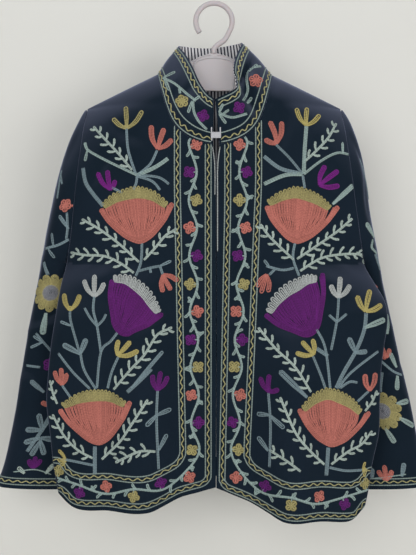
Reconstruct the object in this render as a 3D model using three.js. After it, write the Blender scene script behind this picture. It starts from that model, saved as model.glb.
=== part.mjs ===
// Embroidered velvet jacket hanging on a moulded hanger.
// Millimetres, +Z up, the fronts face -Y, +X is the wearer's left.
// The origin is the inner top of the hanger's hook, where a rail or nail carries it.
import * as THREE from 'three';

// ---- driving sizes ----
const velvet = 2.0;            // wall of the velvet with its backing
const lining = 1.0;            // wall of the striped cotton
const seam = 0.3;              // gap at every seam
const plyGap = 0.4;            // gap between velvet and lining
const openingX = 3;            // the front edges meet here
const shoulder = { neckX: 88, neckZ: -109, tipX: 196, tipZ: -161 };
const backNeckZ = -118;        // middle of the back neckline
const shoulderRoll = 46;       // drop over which the cloth rolls off the shoulder line
const armhole = { top: -162, bottom: -398, halfDepth: 36 };
const topSlope = (shoulder.tipZ - shoulder.neckZ) / (shoulder.tipX - shoulder.neckX);

// The body at each height: half widths, middle depths and the depth of the side fold.
const bodyRows = [
  { z: -100, right: 196, left: 196, front: -44, back: 30, fold: 0 },
  { z: -165, right: 196, left: 196, front: -47, back: 34, fold: 0 },
  { z: -280, right: 208, left: 209, front: -50, back: 36, fold: -2 },
  { z: -360, right: 217, left: 221, front: -52, back: 36, fold: -5 },
  { z: -402, right: 226, left: 230, front: -53, back: 35, fold: -11 },
  { z: -430, right: 232, left: 244, front: -54, back: 34, fold: -20 },
  { z: -456, right: 236, left: 258, front: -54, back: 34, fold: -26 },
  { z: -483, right: 240, left: 262, front: -55, back: 33, fold: -29 },
  { z: -522, right: 246, left: 257, front: -55, back: 32, fold: -30 },
  { z: -562, right: 250, left: 252, front: -55, back: 31, fold: -30 },
  { z: -610, right: 253, left: 250, front: -54, back: 30, fold: -30 },
  { z: -655, right: 248, left: 249, front: -53, back: 30, fold: -29 },
  { z: -704, right: 243, left: 239, front: -51, back: 30, fold: -28 },
  { z: -756, right: 234, left: 231, front: -48, back: 30, fold: -27 },
  { z: -800, right: 224, left: 218, front: -46, back: 30, fold: -26 },
];

// Front hem and neckline, outwards from the opening.
const hemRight = [
  { x: 0, z: -739 }, { x: 22, z: -744 }, { x: 50, z: -750 }, { x: 75, z: -760 },
  { x: 100, z: -768 }, { x: 160, z: -767 }, { x: 200, z: -769 }, { x: 217, z: -764 }, { x: 232, z: -748 },
];
const hemLeft = [
  { x: 0, z: -740 }, { x: 22, z: -748 }, { x: 50, z: -758 }, { x: 78, z: -770 },
  { x: 105, z: -781 }, { x: 150, z: -782 }, { x: 197, z: -787 }, { x: 213, z: -782 }, { x: 228, z: -768 },
];
const hemBack = [
  { x: 0, z: -738 }, { x: 60, z: -740 }, { x: 120, z: -748 }, { x: 180, z: -758 },
  { x: 232, z: -768 },
];
const neckline = [
  { x: 0, z: -221 }, { x: 14, z: -218.5 }, { x: 32, z: -210.5 }, { x: 50, z: -196 },
  { x: 62, z: -178.5 }, { x: 71.5, z: -154.5 }, { x: 79, z: -130 }, { x: 88, z: -109 },
];

// Hanging folds. x runs from the fold's head to the hem, out is how far it stands out there.
const frontFolds = [
  { side: -1, headX: -105, hemX: -118, headZ: -330, width: 46, out: 22 },
  { side: -1, headX: -60, hemX: -58, headZ: -420, width: 26, out: -7 },
  { side: -1, headX: -175, hemX: -188, headZ: -480, width: 24, out: 7 },
  { side: 1, headX: 112, hemX: 122, headZ: -330, width: 44, out: 27 },
  { side: 1, headX: 60, hemX: 56, headZ: -430, width: 26, out: -7 },
  { side: 1, headX: 185, hemX: 196, headZ: -460, width: 24, out: 9 },
];
const middleDip = { width: 42, depth: 20, headZ: -300 };
const backFolds = [
  { headX: -95, hemX: -120, headZ: -300, width: 40, out: 16 },
  { headX: -35, hemX: -48, headZ: -380, width: 26, out: -8 },
  { headX: 10, hemX: 8, headZ: -260, width: 32, out: 13 },
  { headX: 52, hemX: 64, headZ: -400, width: 26, out: -8 },
  { headX: 100, hemX: 128, headZ: -320, width: 38, out: 17 },
];

// The sleeves, row by row down: outer and inner fold of each side, depth in front and behind.
const sleeveRows = table('outZ inZ outRight outLeft inRight inLeft outY inY front back', [
  [-163.5, -163.5, 199, 199, 190, 190, 0, 0, 6, 6],
  [-170, -170, 203, 203, 186, 186, 1, 1, 13, 13],
  [-178, -178, 207, 207.5, 184, 184, 1, 1, 18, 18],
  [-190, -190, 213, 213, 184, 184, 2, 2, 24, 24],
  [-212, -212, 223, 221, 186, 186, 3, 3, 30, 31],
  [-240, -240, 233, 229, 190, 190, 5, 4, 34, 35],
  [-275, -275, 243, 235, 196, 198, 7, 4, 36, 38],
  [-315, -315, 252, 240, 204, 206, 9, 2, 35, 40],
  [-352, -352, 260, 247, 212, 216, 11, -2, 32, 41],
  [-380, -380, 265, 253, 220, 223, 12, -6, 29, 41],
  [-392, -392, 268, 255, 224, 227, 13, -8, 27, 41],
  [-398, -398, 269, 256, 226, 230, 13, -9, 26, 41],
  [-410, -409, 271, 259, 224, 231, 14, -4, 26, 40],
  [-430, -429, 275, 263, 217, 226, 15, 6, 25, 40],
  [-458, -457, 281, 270, 203, 211, 16, 17, 25, 39],
  [-492, -492, 288, 278, 187, 192, 17, 26, 25, 37],
  [-532, -534, 295, 287, 174, 176, 18, 33, 25, 35],
  [-576, -580, 303, 298, 168, 169, 20, 37, 25, 32],
  [-622, -627, 310, 309, 170, 170, 21, 39, 24, 29],
  [-668, -674, 319, 318, 178, 178, 22, 40, 23, 26],
  [-712, -718, 329, 326, 191, 191, 22, 40, 21, 23],
  [-748, -758, 341, 332, 206, 206, 22, 39, 19, 21],
]);

// Top edge of the stand collar from the opening round to the middle of the back.
// along runs 0 at the opening, 0.6 at the neck point and 1 at the middle of the back.
const collarRight = [
  { along: 0.00, x: -0.6, y: -45, z: -153 }, { along: 0.12, x: -12, y: -43, z: -143 },
  { along: 0.24, x: -23, y: -39, z: -125 }, { along: 0.36, x: -33, y: -31, z: -101 },
  { along: 0.48, x: -44, y: -19, z: -80 }, { along: 0.60, x: -54, y: -3, z: -65 },
  { along: 0.72, x: -50, y: 11, z: -60 }, { along: 0.86, x: -28, y: 20, z: -60 },
  { along: 1.00, x: -6, y: 23, z: -60 },
];
const collarLeft = [
  { along: 0.00, x: 1.6, y: -45, z: -154 }, { along: 0.07, x: 16, y: -45.5, z: -147 },
  { along: 0.13, x: 28, y: -46, z: -141 }, { along: 0.19, x: 35, y: -45, z: -134 },
  { along: 0.25, x: 34, y: -42, z: -124 }, { along: 0.32, x: 30, y: -37, z: -110 },
  { along: 0.40, x: 31, y: -29, z: -93 }, { along: 0.50, x: 37, y: -18, z: -75 },
  { along: 0.60, x: 43, y: -5, z: -60 }, { along: 0.72, x: 37, y: 9, z: -57 },
  { along: 0.86, x: 17, y: 19, z: -58 }, { along: 1.00, x: -6, y: 23, z: -60 },
];
// The opening's half width: shut at the collar's top, a lozenge round the hook, shut below.
const openingGap = [
  { z: -100, half: 0 }, { z: -167, half: 0 }, { z: -206, half: 6 }, { z: -221, half: 4.6 },
  { z: -252, half: 0.7 }, { z: -300, half: 0.4 }, { z: -640, half: 0.3 }, { z: -800, half: 0.3 },
];

// Columns across a panel as shares of its half width.
const neckShare = 0.449;       // where the neckline meets the shoulder
const neckShares = [0, 0.075, 0.165, 0.255, 0.327, 0.383, 0.42, neckShare];
const sideShares = [0.51, 0.58, 0.66, 0.74, 0.82, 0.89, 0.955, 0.988, 1];
const frontShares = [...neckShares, ...sideShares];
const backNeckShares = [0, 0.08, 0.16, 0.24, 0.32, 0.4, 0.434, neckShare];
const upperSteps = 13;         // rows down a panel to the underarm
const panelSteps = 24;         // rows down a panel in all
const ringSides = 22;          // points round a sleeve
const collarSteps = 5;         // rows up the collar

// The hanger and the closure.
const hook = { innerRadius: 24, band: 7, depth: 8 };
const hanger = {
  depth: 5, neckHalf: 7, barZ: -74, panelBottomZ: -132, panelHalf: 42, armTip: 178, armHeight: 17, drop: 2.3,
};
const clasp = {
  x: 2.5, z: -209, width: 15, height: 9, wall: 1.4, stand: 0.3, legHeight: 13, legWidth: 2,
};

// ---- helpers ----
// Rows of numbers under named columns.
function table(columns, rows) {
  const names = columns.split(' ');
  return rows.map((row) => Object.fromEntries(names.map((name, i) => [name, row[i]])));
}

// Smooth value of a table's column at a place along its key.
function sample(table, key, column, at) {
  const rising = table[table.length - 1][key] > table[0][key];
  const last = table.length - 1;
  if (rising ? at <= table[0][key] : at >= table[0][key]) return table[0][column];
  if (rising ? at >= table[last][key] : at <= table[last][key]) return table[last][column];
  let i = 0;
  while (rising ? table[i + 1][key] < at : table[i + 1][key] > at) i += 1;
  const slope = (a, b) => (table[b][column] - table[a][column]) / (table[b][key] - table[a][key]);
  const step = table[i + 1][key] - table[i][key];
  const startSlope = i > 0 ? slope(i - 1, i + 1) : slope(i, i + 1);
  const endSlope = i + 2 <= last ? slope(i, i + 2) : slope(i, i + 1);
  const t = (at - table[i][key]) / step;
  const a = table[i][column];
  const b = table[i + 1][column];
  const t2 = t * t;
  const t3 = t2 * t;
  return (2 * t3 - 3 * t2 + 1) * a + (t3 - 2 * t2 + t) * step * startSlope
    + (3 * t2 - 2 * t3) * b + (t3 - t2) * step * endSlope;
}

const smooth = (t) => t * t * (3 - 2 * t);
const clamp01 = (t) => Math.min(1, Math.max(0, t));
const hump = (x, middle, width) => Math.exp(-(((x - middle) / width) ** 2));

// True where the normals look against the turn of the columns and rows.
function facesBack(rows) {
  const i = Math.floor(rows.length / 2);
  const j = Math.floor(rows[0].length / 2);
  const { p, n } = rows[i][j];
  const across = rows[i][j + 1].p.clone().sub(p);
  const down = rows[i + 1][j].p.clone().sub(p);
  return across.cross(down).dot(n) < 0;
}

// A closed cloth wall from rows of { p: middle point, n: outward normal }.
// From joinRow on the first and last columns are one line, so the sheet turns into a tube.
function clothWall(rows, wall, joinRow = Infinity) {
  const count = rows.length;
  const across = rows[0].length;
  const positions = [];
  for (const row of rows) {
    for (const { p, n } of row) {
      positions.push(...p.clone().addScaledVector(n, wall / 2).toArray());
      positions.push(...p.clone().addScaledVector(n, -wall / 2).toArray());
    }
  }
  const end = across - 1;
  const outer = (i, j) => 2 * (i * across + (j === end && i >= joinRow ? 0 : j));
  const inner = (i, j) => outer(i, j) + 1;
  const index = [];
  const turned = facesBack(rows);
  const quad = (a, b, c, d) => (turned ? index.push(a, c, b, b, c, d) : index.push(a, b, c, b, d, c));
  for (let i = 0; i < count - 1; i += 1) {
    for (let j = 0; j < end; j += 1) {
      quad(outer(i, j), outer(i, j + 1), outer(i + 1, j), outer(i + 1, j + 1));
      quad(inner(i, j), inner(i + 1, j), inner(i, j + 1), inner(i + 1, j + 1));
    }
  }
  for (let j = 0; j < end; j += 1) {
    quad(outer(0, j), inner(0, j), outer(0, j + 1), inner(0, j + 1));
    quad(outer(count - 1, j), outer(count - 1, j + 1), inner(count - 1, j), inner(count - 1, j + 1));
  }
  for (let i = 0; i < Math.min(count - 1, joinRow); i += 1) {
    quad(outer(i, 0), outer(i + 1, 0), inner(i, 0), inner(i + 1, 0));
    quad(outer(i, end), inner(i, end), outer(i + 1, end), inner(i + 1, end));
  }
  const geometry = new THREE.BufferGeometry();
  geometry.setAttribute('position', new THREE.Float32BufferAttribute(positions, 3));
  geometry.setIndex(index);
  geometry.computeVertexNormals();
  return geometry;
}

// Adds normals to rows of middle points; facing picks the side that is outside.
function withNormals(points, facing = 1, joinRow = Infinity) {
  const count = points.length;
  const across = points[0].length;
  return points.map((row, i) => row.map((p, j) => {
    const up = points[Math.max(0, i - 1)][j];
    const down = points[Math.min(count - 1, i + 1)][j];
    const tube = i >= joinRow && (j === 0 || j === across - 1);
    const before = tube ? row[across - 2] : row[Math.max(0, j - 1)];
    const after = tube ? row[1] : row[Math.min(across - 1, j + 1)];
    const n = after.clone().sub(before).cross(down.clone().sub(up));
    return { p, n: n.normalize().multiplyScalar(facing) };
  }));
}

// The same rows moved off to one side, for a ply that lies on another.
function offsetRows(rows, distance) {
  return rows.map((row) => row.map(({ p, n }) => ({ p: p.clone().addScaledVector(n, distance), n })));
}

// ---- the body's form ----
const shoulderZ = (x) => shoulder.neckZ + topSlope * (Math.abs(x) - shoulder.neckX);
const halfWidth = (side, z) => sample(bodyRows, 'z', side < 0 ? 'right' : 'left', z);
const foldDepth = (z) => sample(bodyRows, 'z', 'fold', z);
const openingHalf = (z) => sample(openingGap, 'z', 'half', z);

// Half the depth of the armhole's loop at a height, nought below the underarm.
function loopHalf(z) {
  const middle = (armhole.top + armhole.bottom) / 2;
  const half = (armhole.top - armhole.bottom) / 2;
  const share = (z - middle) / half;
  return armhole.halfDepth * Math.sqrt(Math.max(0, 1 - share * share));
}

// 0 at the armhole's top and 1 at its bottom.
const armholeShare = (z) => clamp01((armhole.top - z) / (armhole.top - armhole.bottom));
// The sleeve's seam stands this much further out where it turns under the arm.
const underarmClear = (z) => velvet * armholeShare(z) ** 14;

// How far a hanging fold moves the cloth outwards at a point.
function foldOut(fold, x, z, hemZ) {
  const down = clamp01((fold.headZ - z) / (fold.headZ - hemZ));
  const middle = fold.headX + (fold.hemX - fold.headX) * down;
  return fold.out * smooth(down) * hump(x, middle, fold.width * (0.75 + 0.25 * down));
}

const rollOff = (x, z) => {
  const drop = clamp01((shoulderZ(x) - z) / shoulderRoll);
  return Math.sqrt(Math.max(0, 1 - (1 - drop) ** 2));
};

function frontPoint(side, x, z) {
  const share = Math.min(1, Math.abs(x) / halfWidth(side, z));
  const shape = Math.sqrt(1 - share ** 3);
  const edge = foldDepth(z) - loopHalf(z);
  let y = edge + (sample(bodyRows, 'z', 'front', z) - edge) * shape;
  const fade = 1 - share ** 6;
  for (const fold of frontFolds) {
    if (fold.side === side) y -= foldOut(fold, x, z, -780) * fade;
  }
  const dip = clamp01((middleDip.headZ - z) / (middleDip.headZ + 740));
  y += middleDip.depth * smooth(dip) * hump(x, openingX, middleDip.width);
  return new THREE.Vector3(x, -seam / 2 + y * rollOff(x, z), z);
}

function backPoint(side, x, z) {
  const share = Math.min(1, Math.abs(x) / halfWidth(side, z));
  const low = clamp01((-200 - z) / 220);
  const shape = (1 - share ** (4 - 2.5 * low)) ** 0.9;
  const edge = foldDepth(z) + loopHalf(z);
  let y = edge + (sample(bodyRows, 'z', 'back', z) - edge) * shape;
  const fade = 1 - share ** 4;
  for (const fold of backFolds) y += foldOut(fold, x, z, -760) * fade;
  return new THREE.Vector3(x, seam / 2 + y * rollOff(x, z), z);
}

// The outward normal that panel and sleeve share along the armhole.
function armholeNormal(z, face) {
  const middle = (armhole.top + armhole.bottom) / 2;
  const half = (armhole.top - armhole.bottom) / 2;
  const share = Math.min(1, Math.max(-1, (z - middle) / half));
  const n = new THREE.Vector3(0, face * Math.sqrt(1 - share * share) / armhole.halfDepth, share / half);
  return n.normalize();
}

// Rows crowd at the shoulder, one lies at the underarm, and the rest are even to the hem.
function rowHeight(i, topZ, hemZ) {
  if (i <= upperSteps) return topZ + (armhole.bottom - topZ) * (i / upperSteps) ** 1.5;
  return armhole.bottom + (hemZ - armhole.bottom) * ((i - upperSteps) / (panelSteps - upperSteps));
}

// A panel's edge along armhole and side seam, and its shoulder, get the seam's own normals.
function trueSeams(rows, shares, face, side) {
  const top = rows[0];
  shares.forEach((share, j) => {
    const tilt = Math.sign(share) * (side || 1);
    if (Math.abs(share) > neckShare) top[j].n.set(-topSlope * tilt, 0, 1).normalize();
    if (Math.abs(share) === neckShare) top[j].n.set(0.68 * tilt, 0, 0.73).normalize();
  });
  for (const row of rows) {
    const ends = side ? [[shares.length - 1, side]] : [[0, -1], [shares.length - 1, 1]];
    for (const [j, way] of ends) {
      const { p, n } = row[j];
      if (p.z > armhole.bottom) n.copy(armholeNormal(p.z, face));
      else n.set(way, 0, 0);
    }
  }
  return rows;
}

function frontPanel(side) {
  const hem = side < 0 ? hemRight : hemLeft;
  const points = [];
  for (let i = 0; i <= panelSteps; i += 1) {
    const row = frontShares.map((share) => {
      const reach = shoulder.tipX - seam / 2;
      const topX = share * reach;
      const topZ = share < neckShare ? sample(neckline, 'x', 'z', topX) : shoulderZ(topX);
      const hemZ = sample(hem, 'x', 'z', share * halfWidth(side, -760));
      const z = rowHeight(i, topZ, hemZ);
      const innerX = openingX + side * (openingHalf(z) + seam / 2);
      const outerX = side * (halfWidth(side, z) - (z > armhole.bottom ? seam / 2 : 0));
      return frontPoint(side, innerX + (outerX - innerX) * share, z);
    });
    points.push(row);
  }
  const rows = withNormals(points, -side);
  return trueSeams(rows, frontShares, -1, side);
}

const backShares = [
  ...[...backNeckShares, ...sideShares].slice(1).reverse().map((share) => -share),
  ...backNeckShares, ...sideShares,
];

// The back's hem meets the front's at the side seam.
function backHemZ(side, size) {
  const wide = halfWidth(side, -760);
  const seamZ = sample(side < 0 ? hemRight : hemLeft, 'x', 'z', wide);
  const rise = seamZ - sample(hemBack, 'x', 'z', wide);
  return sample(hemBack, 'x', 'z', size * wide) + rise * smooth(clamp01((size - 0.75) / 0.25));
}

function backPanel() {
  const points = [];
  for (let i = 0; i <= panelSteps; i += 1) {
    points.push(backShares.map((share) => {
      const side = share < 0 ? -1 : 1;
      const size = Math.abs(share);
      const topX = size * (shoulder.tipX - seam / 2);
      const dip = (backNeckZ - shoulder.neckZ) * (1 - (topX / shoulder.neckX) ** 2);
      const topZ = size < neckShare ? shoulder.neckZ + dip : shoulderZ(topX);
      const hemZ = backHemZ(side, size);
      const z = rowHeight(i, topZ, hemZ);
      const outerX = halfWidth(side, z) - (z > armhole.bottom ? seam / 2 : 0);
      return backPoint(side, share * outerX, z);
    }));
  }
  const rows = withNormals(points);
  return trueSeams(rows, backShares, 1, 0);
}

// ---- sleeves ----
// Above the underarm a row is open and its ends lie on the armhole, below it the row is a ring.
function sleeve(side) {
  const outKey = side < 0 ? 'outRight' : 'outLeft';
  const inKey = side < 0 ? 'inRight' : 'inLeft';
  const points = sleeveRows.map((row) => {
    const outer = new THREE.Vector3(side * row[outKey], row.outY, row.outZ);
    const inner = new THREE.Vector3(side * row[inKey], row.inY, row.inZ);
    const centre = outer.clone().add(inner).multiplyScalar(0.5);
    const reach = outer.clone().sub(centre);
    const open = row.outZ > armhole.bottom;
    const widest = open ? Math.PI * (0.5 + 0.5 * armholeShare(row.outZ) ** 6) : Math.PI;
    const at = (t) => {
      const angle = widest * t;
      const p = centre.clone().addScaledVector(reach, Math.cos(angle));
      // the front lies flatter towards the inner fold, behind the body's side
      const lean = 1.25 * (0.5 + 0.5 * Math.cos(angle)) ** 0.6;
      p.y += (t < 0 ? row.front * lean : row.back) * Math.sin(angle);
      return p;
    };
    const edge = (face) => new THREE.Vector3(
      side * (halfWidth(side, row.outZ) + seam + underarmClear(row.outZ)),
      foldDepth(row.outZ) + face * loopHalf(row.outZ),
      row.outZ,
    );
    const line = [];
    for (let j = 0; j <= ringSides; j += 1) {
      const t = (2 * j) / ringSides - 1;
      const p = at(t);
      if (open || row.outZ === armhole.bottom) {
        const face = t < 0 ? -1 : 1;
        p.addScaledVector(edge(face).sub(at(face)), Math.abs(t) ** 3);
      }
      line.push(p);
    }
    return line;
  });
  const joinRow = sleeveRows.findIndex((row) => row.outZ <= armhole.bottom);
  const rows = withNormals(points, -side, joinRow);
  rows.slice(0, joinRow).forEach((row) => {
    row[0].n.copy(armholeNormal(row[0].p.z, -1));
    row[ringSides].n.copy(armholeNormal(row[ringSides].p.z, 1));
  });
  rows[0].forEach(({ n }) => n.set(side * 0.4, 0, 0.9).normalize());
  for (const j of [0, ringSides]) rows[joinRow][j].n.set(-side * 0.3, 0, -0.95).normalize();
  return { rows, joinRow };
}

// ---- collar ----
// The bottom edge sits on the panels' own neckline points, the top edge follows its tables.
function collarRows(panels) {
  const columns = [];
  const addHalf = (table, panel, back, side) => {
    const list = [];
    const neckEnd = neckShares.length - 1;
    for (let j = 0; j <= neckEnd; j += 1) list.push({ ...panel[0][j], along: 0.6 * (j / neckEnd) });
    const middle = (backShares.length - 1) / 2;
    const steps = backNeckShares.length - 1;
    for (let j = steps - 1; j >= 0; j -= 1) {
      list.push({ ...back[0][middle + side * j], along: 1 - 0.4 * (j / steps) ** 0.9 });
    }
    return list.map((entry) => ({ ...entry, table }));
  };
  const right = addHalf(collarRight, panels.right, panels.back, -1);
  const left = addHalf(collarLeft, panels.left, panels.back, 1);
  left.pop();
  columns.push(...right, ...left.reverse());
  const points = [];
  for (let i = 0; i <= collarSteps; i += 1) {
    const up = i / collarSteps;
    points.push(columns.map(({ p, n, along, table }) => {
      const top = new THREE.Vector3(
        sample(table, 'along', 'x', along),
        sample(table, 'along', 'y', along),
        sample(table, 'along', 'z', along),
      );
      const way = top.clone().sub(p).normalize();
      const foot = p.clone().addScaledVector(way, seam * 3);
      return foot.lerp(top, up);
    }));
  }
  const rows = withNormals(points.reverse());
  rows[collarSteps].forEach((point, j) => point.n.copy(columns[j].n));
  return rows;
}

// ---- hanger ----
function hangerShape() {
  const armTopZ = (x) => shoulderZ(x) - hanger.drop;
  const shape = new THREE.Shape();
  const side = (way) => [
    [way * hanger.neckHalf, hanger.barZ], [way * 34, -85], [way * 62, -101],
    [way * 79, -113], [way * 92, armTopZ(92)], [way * 130, armTopZ(130)],
    [way * (hanger.armTip - 8), armTopZ(hanger.armTip - 8)],
    [way * hanger.armTip, armTopZ(hanger.armTip) - 6],
    [way * hanger.armTip, armTopZ(hanger.armTip) - hanger.armHeight],
    [way * 96, armTopZ(96) - hanger.armHeight], [way * 60, hanger.panelBottomZ],
    [way * hanger.panelHalf, hanger.panelBottomZ],
  ];
  const outline = [...side(1), ...side(-1).reverse()];
  outline.forEach(([x, z], i) => (i ? shape.lineTo(x, z) : shape.moveTo(x, z)));
  shape.closePath();
  return shape;
}

function hangerGeometry() {
  const geometry = new THREE.ExtrudeGeometry(hangerShape(), { depth: hanger.depth, bevelEnabled: false });
  geometry.translate(0, 0, -hanger.depth / 2);
  geometry.rotateX(Math.PI / 2);
  return geometry;
}

function hookGeometry() {
  const radius = hook.innerRadius + hook.band / 2;
  const centre = new THREE.Vector2(0, -hook.innerRadius);
  const points = [];
  const turns = 14;
  for (let i = 0; i <= turns; i += 1) {
    const angle = THREE.MathUtils.degToRad(218 - (248 * i) / turns);
    points.push(new THREE.Vector3(radius * Math.cos(angle), 0, centre.y + radius * Math.sin(angle)));
  }
  points.push(new THREE.Vector3(17, 0, -52));
  points.push(new THREE.Vector3(5, 0, -61));
  points.push(new THREE.Vector3(0, 0, -68));
  points.push(new THREE.Vector3(0, 0, hanger.barZ + seam));
  const path = new THREE.CatmullRomCurve3(points);
  const section = new THREE.Shape();
  const sides = 10;
  for (let i = 0; i < sides; i += 1) {
    const angle = (2 * Math.PI * i) / sides;
    const x = (hook.band / 2) * Math.cos(angle);
    const y = (hook.depth / 2) * Math.sin(angle);
    if (i) section.lineTo(x, y);
    else section.moveTo(x, y);
  }
  section.closePath();
  return new THREE.ExtrudeGeometry(section, { steps: 34, extrudePath: path, bevelEnabled: false });
}

// ---- closure: a flat hook over a bent bar ----
function plateGeometry(width, height, wall) {
  return new THREE.BoxGeometry(width, wall, height);
}

function barGeometry() {
  const shape = new THREE.Shape();
  const half = clasp.width / 2;
  const leg = clasp.legWidth;
  shape.moveTo(-half, 0);
  shape.lineTo(half, 0);
  shape.lineTo(half, clasp.legHeight);
  shape.lineTo(half - leg, clasp.legHeight);
  shape.lineTo(half - leg, leg);
  shape.lineTo(leg - half, leg);
  shape.lineTo(leg - half, clasp.legHeight);
  shape.lineTo(-half, clasp.legHeight);
  shape.closePath();
  const geometry = new THREE.ExtrudeGeometry(shape, { depth: clasp.wall, bevelEnabled: false });
  geometry.rotateX(Math.PI / 2);
  return geometry;
}

// ---- the group ----
const group = new THREE.Group();

function addPart(name, geometry, color, roughness, metalness = 0) {
  const material = new THREE.MeshStandardMaterial({ color, roughness, metalness });
  const mesh = new THREE.Mesh(geometry, material);
  mesh.name = name;
  group.add(mesh);
  return mesh;
}

const velvetBlue = '#1b2430';
const panels = { right: frontPanel(-1), left: frontPanel(1), back: backPanel() };
addPart('front_right', clothWall(panels.right, velvet), velvetBlue, 0.95);
addPart('front_left', clothWall(panels.left, velvet), velvetBlue, 0.95);
addPart('back', clothWall(panels.back, velvet), velvetBlue, 0.95);
for (const [name, side] of [['sleeve_right', -1], ['sleeve_left', 1]]) {
  const { rows, joinRow } = sleeve(side);
  addPart(name, clothWall(rows, velvet, joinRow), velvetBlue, 0.95);
}

const collar = collarRows(panels);
addPart('collar', clothWall(collar, velvet), velvetBlue, 0.95);
const liningOffset = velvet / 2 + plyGap + lining / 2;
const trimmed = collar[collarSteps].map(({ p, n }, j) => {
  const above = collar[collarSteps - 1][j];
  return { p: p.clone().lerp(above.p, 0.12), n: n.clone().lerp(above.n, 0.12) };
});
const collarInside = offsetRows([...collar.slice(0, -1), trimmed], -liningOffset);
addPart('collar_lining', clothWall(collarInside, lining), '#c9c9cd', 0.9);

const liningRows = panels.back.slice(1, -1).map((row) => row.slice(4, -4));
addPart('back_lining', clothWall(offsetRows(liningRows, -liningOffset), lining), '#c9c9cd', 0.9);

addPart('hanger', hangerGeometry(), '#d8d4d8', 0.45);
addPart('hanger_hook', hookGeometry(), '#dcd8dc', 0.45);

const claspY = frontPoint(1, 20, clasp.z).y - velvet / 2 - clasp.stand;
const bar = addPart('closure_bar', barGeometry(), '#c8c8cc', 0.4, 0.6);
bar.position.set(clasp.x, claspY, clasp.z - 1);
const plateShape = plateGeometry(clasp.width, clasp.height, clasp.wall);
const plate = addPart('closure_hook', plateShape, '#d4d4d8', 0.4, 0.6);
plate.position.set(clasp.x, claspY - clasp.wall * 1.5 - seam, clasp.z);

export default group;
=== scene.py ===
# An embroidered velvet jacket on a moulded hanger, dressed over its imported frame.
# Lengths in the tables are millimetres, the pieces are in metres.
import bpy
import bmesh
import math
import random
from bisect import bisect
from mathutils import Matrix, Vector
from mathutils.bvhtree import BVHTree


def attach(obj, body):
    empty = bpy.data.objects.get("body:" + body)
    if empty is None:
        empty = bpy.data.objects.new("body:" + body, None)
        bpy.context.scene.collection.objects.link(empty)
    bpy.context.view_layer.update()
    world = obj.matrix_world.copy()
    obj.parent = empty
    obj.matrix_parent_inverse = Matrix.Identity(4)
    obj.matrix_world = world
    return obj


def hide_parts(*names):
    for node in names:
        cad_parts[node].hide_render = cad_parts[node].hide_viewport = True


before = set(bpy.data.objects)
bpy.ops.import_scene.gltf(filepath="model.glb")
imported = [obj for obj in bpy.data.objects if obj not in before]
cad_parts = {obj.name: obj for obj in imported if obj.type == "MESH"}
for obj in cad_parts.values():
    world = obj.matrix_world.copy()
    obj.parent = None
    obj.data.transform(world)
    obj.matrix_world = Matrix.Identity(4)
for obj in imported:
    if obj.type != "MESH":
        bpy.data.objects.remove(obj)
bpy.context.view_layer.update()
random.seed(7)
print("frame loaded")

# ---- the jacket's own sizes ----
velvet = 1.7
lining = 0.9
seam = 0.3
plyGap = 0.5
openingX = 3
shoulder = {"neckX": 88, "neckZ": -109, "tipX": 196, "tipZ": -161}
backNeckZ = -118
shoulderRoll = 46
armhole = {"top": -162, "bottom": -398, "halfDepth": 36}
topSlope = (shoulder["tipZ"] - shoulder["neckZ"]) / (shoulder["tipX"] - shoulder["neckX"])
armholeMiddle = (armhole["top"] + armhole["bottom"]) / 2
armholeHalf = (armhole["top"] - armhole["bottom"]) / 2
neckShare = 0.449
hemLevel = -760
foldFoot = {"front": -780, "back": -760}
# within this distance of a seam the cloth's normals turn to the seam's own
turnIn = 9


def table(columns, rows):
    return [dict(zip(columns.split(), row)) for row in rows]


bodyRows = table("z right left front back fold", [
    (-100, 196, 196, -44, 30, 0), (-165, 196, 196, -47, 34, 0), (-280, 208, 209, -50, 36, -2),
    (-360, 217, 221, -52, 36, -5), (-402, 226, 230, -53, 35, -11), (-430, 232, 244, -54, 34, -20),
    (-456, 236, 258, -54, 34, -26), (-483, 240, 262, -55, 33, -29), (-522, 246, 257, -55, 32, -30),
    (-562, 250, 252, -55, 31, -30), (-610, 253, 250, -54, 30, -30), (-655, 248, 249, -53, 30, -29),
    (-704, 243, 239, -51, 30, -28), (-756, 234, 231, -48, 30, -27), (-800, 224, 218, -46, 30, -26),
])
hemRight = table("x z", [
    (0, -739), (22, -744), (50, -750), (75, -760), (100, -768), (160, -767), (200, -769), (217, -764),
    (232, -748),
])
hemLeft = table("x z", [
    (0, -740), (22, -748), (50, -758), (78, -770), (105, -781), (150, -782), (203, -787), (217, -783.5),
    (228, -769),
])
hemBack = table("x z", [
    (0, -738), (60, -740), (120, -748), (180, -758), (232, -768),
])
hems = {-1: hemRight, 1: hemLeft}
neckline = table("x z", [
    (0, -222), (14, -219.5), (32, -212.5), (50, -200.5), (64, -185), (75, -163), (82, -138), (88, -109),
])
frontFolds = table("side headX hemX headZ width out", [
    (-1, -105, -118, -330, 46, 22), (-1, -60, -58, -420, 26, -7), (-1, -175, -188, -480, 24, 7),
    (1, 112, 122, -330, 44, 27), (1, 60, 56, -430, 26, -7), (1, 185, 196, -460, 24, 9),
])
backFolds = table("headX hemX headZ width out", [
    (-95, -120, -300, 40, 16), (-35, -48, -380, 26, -8), (10, 8, -260, 32, 13),
    (52, 64, -400, 26, -8), (100, 128, -320, 38, 17),
])
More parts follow.
